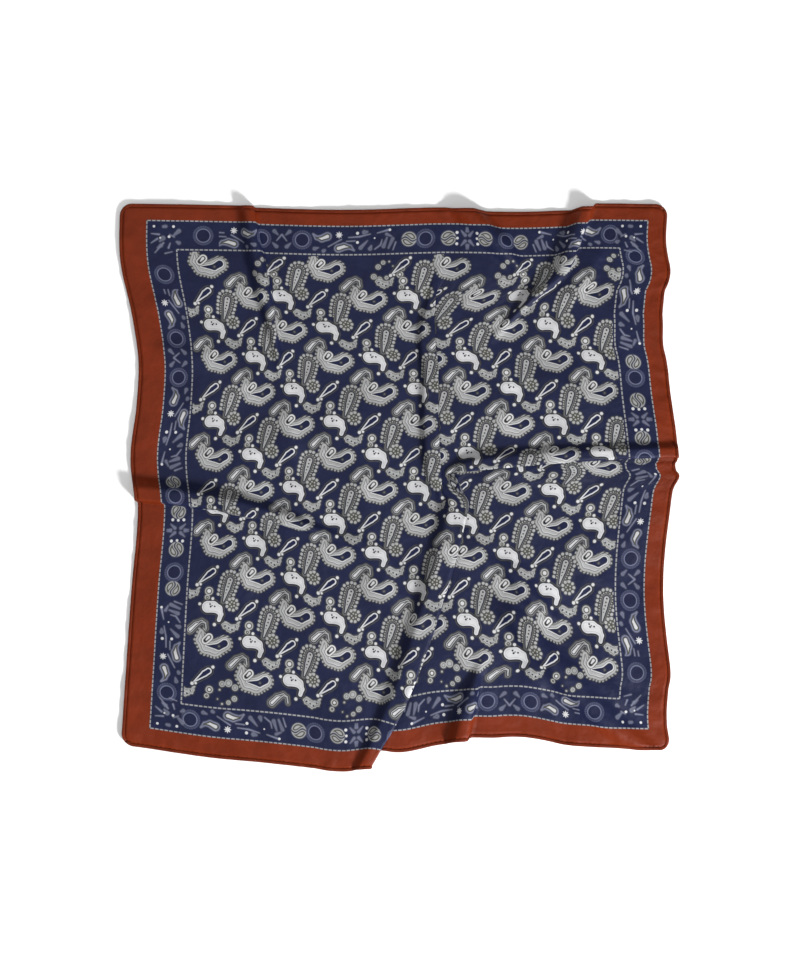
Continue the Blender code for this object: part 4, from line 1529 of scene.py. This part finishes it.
@dataclass
class HemStitches:
    """Small slanting hand stitches that hold the roll, one after another along its line."""

    name: str
    line: np.ndarray
    pitch: float = 0.0052
    thread: float = 0.00022
    length: float = 0.0019
    slant: Point = (0.75, 0.66, -0.12)
    scales: Span = (0.8, 1.15)       # least and most size of a stitch, as shares
    seed: int = 3
    sides: int = 5
    steps: int = 5

    def tree(self, material: bpy.types.Material) -> bpy.types.NodeTree:
        """Build the tree that sets stitches along a line."""
        tree = bpy.data.node_groups.new("hem_stitch_run", "GeometryNodeTree")
        tree.interface.new_socket("Geometry", in_out="INPUT", socket_type="NodeSocketGeometry")
        for label in ("Pitch", "Thread", "Length"):
            tree.interface.new_socket(label, in_out="INPUT", socket_type="NodeSocketFloat")
        tree.interface.new_socket("Geometry", in_out="OUTPUT", socket_type="NodeSocketGeometry")
        given = tree.nodes.new("NodeGroupInput").outputs

        def first_output(kind: str, inputs: Inputs, **settings: object) -> bpy.types.NodeSocket:
            """Add a node and return its first output."""
            return add_node(tree, kind, inputs, **settings).outputs[0]

        line = first_output("GeometryNodeMeshToCurve", {"Mesh": given["Geometry"]})
        spaced = first_output("GeometryNodeResampleCurve",
                              {"Curve": line, "Length": given["Pitch"]}, mode="LENGTH")
        straight = first_output("GeometryNodeCurvePrimitiveLine",
                                {"Direction": self.slant, "Length": given["Length"]},
                                mode="DIRECTION")
        stitch = first_output("GeometryNodeResampleCurve", {"Curve": straight, "Count": self.steps})
        round_section = first_output("GeometryNodeCurvePrimitiveCircle",
                                     {"Resolution": self.sides, "Radius": given["Thread"]})
        tube = first_output("GeometryNodeCurveToMesh", {
            "Curve": stitch, "Profile Curve": round_section, "Fill Caps": True})
        tangent = first_output("GeometryNodeInputTangent", {})
        turn = first_output("FunctionNodeAlignEulerToVector", {"Vector": tangent}, axis="X")
        least, most = self.scales
        sizes = add_node(tree, "FunctionNodeRandomValue", {2: least, 3: most, "Seed": self.seed},
                         data_type="FLOAT").outputs[1]
        set_out = first_output("GeometryNodeInstanceOnPoints", {
            "Points": spaced, "Instance": tube, "Rotation": turn, "Scale": sizes})
        real = first_output("GeometryNodeRealizeInstances", {"Geometry": set_out})
        dressed = first_output("GeometryNodeSetMaterial", {"Geometry": real, "Material": material})
        add_node(tree, "NodeGroupOutput", {"Geometry": dressed})
        return tree

    def build(self, material: bpy.types.Material) -> bpy.types.Object:
        """Set the stitches out and turn them into a plain mesh."""
        mesh = bpy.data.meshes.new(self.name + "_line")
        mesh.from_pydata(self.line.tolist(), [(n, n + 1) for n in range(len(self.line) - 1)], [])
        guide = add_object(self.name + "_line", mesh)
        modifier = guide.modifiers.new("stitches", "NODES")
        modifier.node_group = self.tree(material)
        sizes = {"Pitch": self.pitch, "Thread": self.thread, "Length": self.length}
        for item in modifier.node_group.interface.items_tree:
            if item.item_type == "SOCKET" and item.name in sizes:
                modifier[item.identifier] = sizes[item.name]
        seen = guide.evaluated_get(bpy.context.evaluated_depsgraph_get())
        made_mesh = bpy.data.meshes.new_from_object(seen)
        made_mesh.name = self.name
        made = add_object(self.name, made_mesh)
        bpy.data.objects.remove(guide)
        return made


@dataclass
class Studio:
    """The pale floor, the soft lights and the camera straight above."""

    camera_height: float = 2.610
    lens: float = 85.0
    sensor: float = 36.0
    middle: Place = (0.0006, -0.0017)
    floor_size: float = 9.0
    floor_drop: float = 0.0006
    world_light: float = 0.38
    key_power: float = 205.0
    key_size: float = 0.8
    key_place: Point = (1.85, -2.05, 1.45)
    fill_power: float = 22.0
    fill_size: float = 2.4
    fill_place: Point = (-1.2, 0.9, 2.2)

    def floor(self) -> bpy.types.Object:
        """Lay the floor."""
        half = self.floor_size / 2.0
        corners = np.array(((-1.0, -1.0), (1.0, -1.0), (1.0, 1.0), (-1.0, 1.0))) * half
        corners = np.insert(corners, 2, -self.floor_drop, axis=1)
        return mesh_object("floor", corners, [(0, 1, 2, 3)], PaleFloor().material())

    def light(self, name: str, power: float, size: float, place: Point) -> None:
        """Hang a soft light that faces the scarf."""
        data = bpy.data.lights.new(name, "AREA")
        data.energy, data.size, data.shape = power, size, "DISK"
        lamp = add_object(name, data)
        lamp.location = place
        x, y, z = place
        lamp.rotation_euler = (math.atan2(math.hypot(x, y), z), 0.0,
                               math.atan2(y, x) + math.pi / 2.0)

    def set_up(self) -> None:
        """Make the camera and the lights."""
        scene = bpy.context.scene
        data = bpy.data.cameras.new("camera")
        data.lens, data.sensor_width, data.sensor_fit = self.lens, self.sensor, "AUTO"
        scene.camera = add_object("camera", data)
        scene.camera.location = (*self.middle, self.camera_height)
        world = bpy.data.worlds.new("soft_room")
        world.use_nodes = True
        sky = world.node_tree.nodes["Background"].inputs
        sky["Color"].default_value = (1.0, 1.0, 1.0, 1.0)
        sky["Strength"].default_value = self.world_light
        scene.world = world
        scene.view_settings.view_transform = "Standard"
        self.light("key_light", self.key_power, self.key_size, self.key_place)
        self.light("fill_light", self.fill_power, self.fill_size, self.fill_place)


def seat_shift(cloth: LaidCloth) -> np.ndarray:
    """Return the move that centres the laid outline over the origin, as the solid is centred."""
    edges = (edge_run(quarter) for quarter in range(len(SIDES)))
    outline = np.concatenate([cloth.lay(run + outward * (SEAM_GAP + HEM_ROLL), fine=False)
                              for run, outward in edges])
    middle = (outline.min(axis=0) + outline.max(axis=0)) / 2.0
    return np.array((-middle[0], -middle[1], 0.0))


def main() -> None:
    """Build the scarf and the studio, and report each piece."""
    logging.basicConfig(level=logging.INFO)
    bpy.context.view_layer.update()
    studio = Studio()
    studio.set_up()
    floor = studio.floor()
    cloth = LaidCloth()
    shift = seat_shift(cloth)
    panel = Panel(cloth, shift).build(PrintedSilk().material())
    hem_finish, thread = HEM_SILK.material(), HEM_THREAD.material()
    hems, stitches = [], []
    for quarter, side in enumerate(SIDES):
        hem = Hem(f"rolled_hem_{side}", quarter, cloth, shift)
        hems.append(hem.build(hem_finish))
        stitches.append(HemStitches(f"hem_stitches_{side}", hem.stitch_line()).build(thread))

    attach(panel, BODY)
    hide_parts("scarf_panel")
    for side, hem, stitch in zip(SIDES, hems, stitches):
        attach(hem, BODY)
        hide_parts(f"hem_{side}")
        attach(stitch, BODY)
    for piece in [panel, *hems, *stitches]:
        LOG.info("%s: %d faces", piece.name, len(piece.data.polygons))
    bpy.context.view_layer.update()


if __name__ == "__main__":
    main()
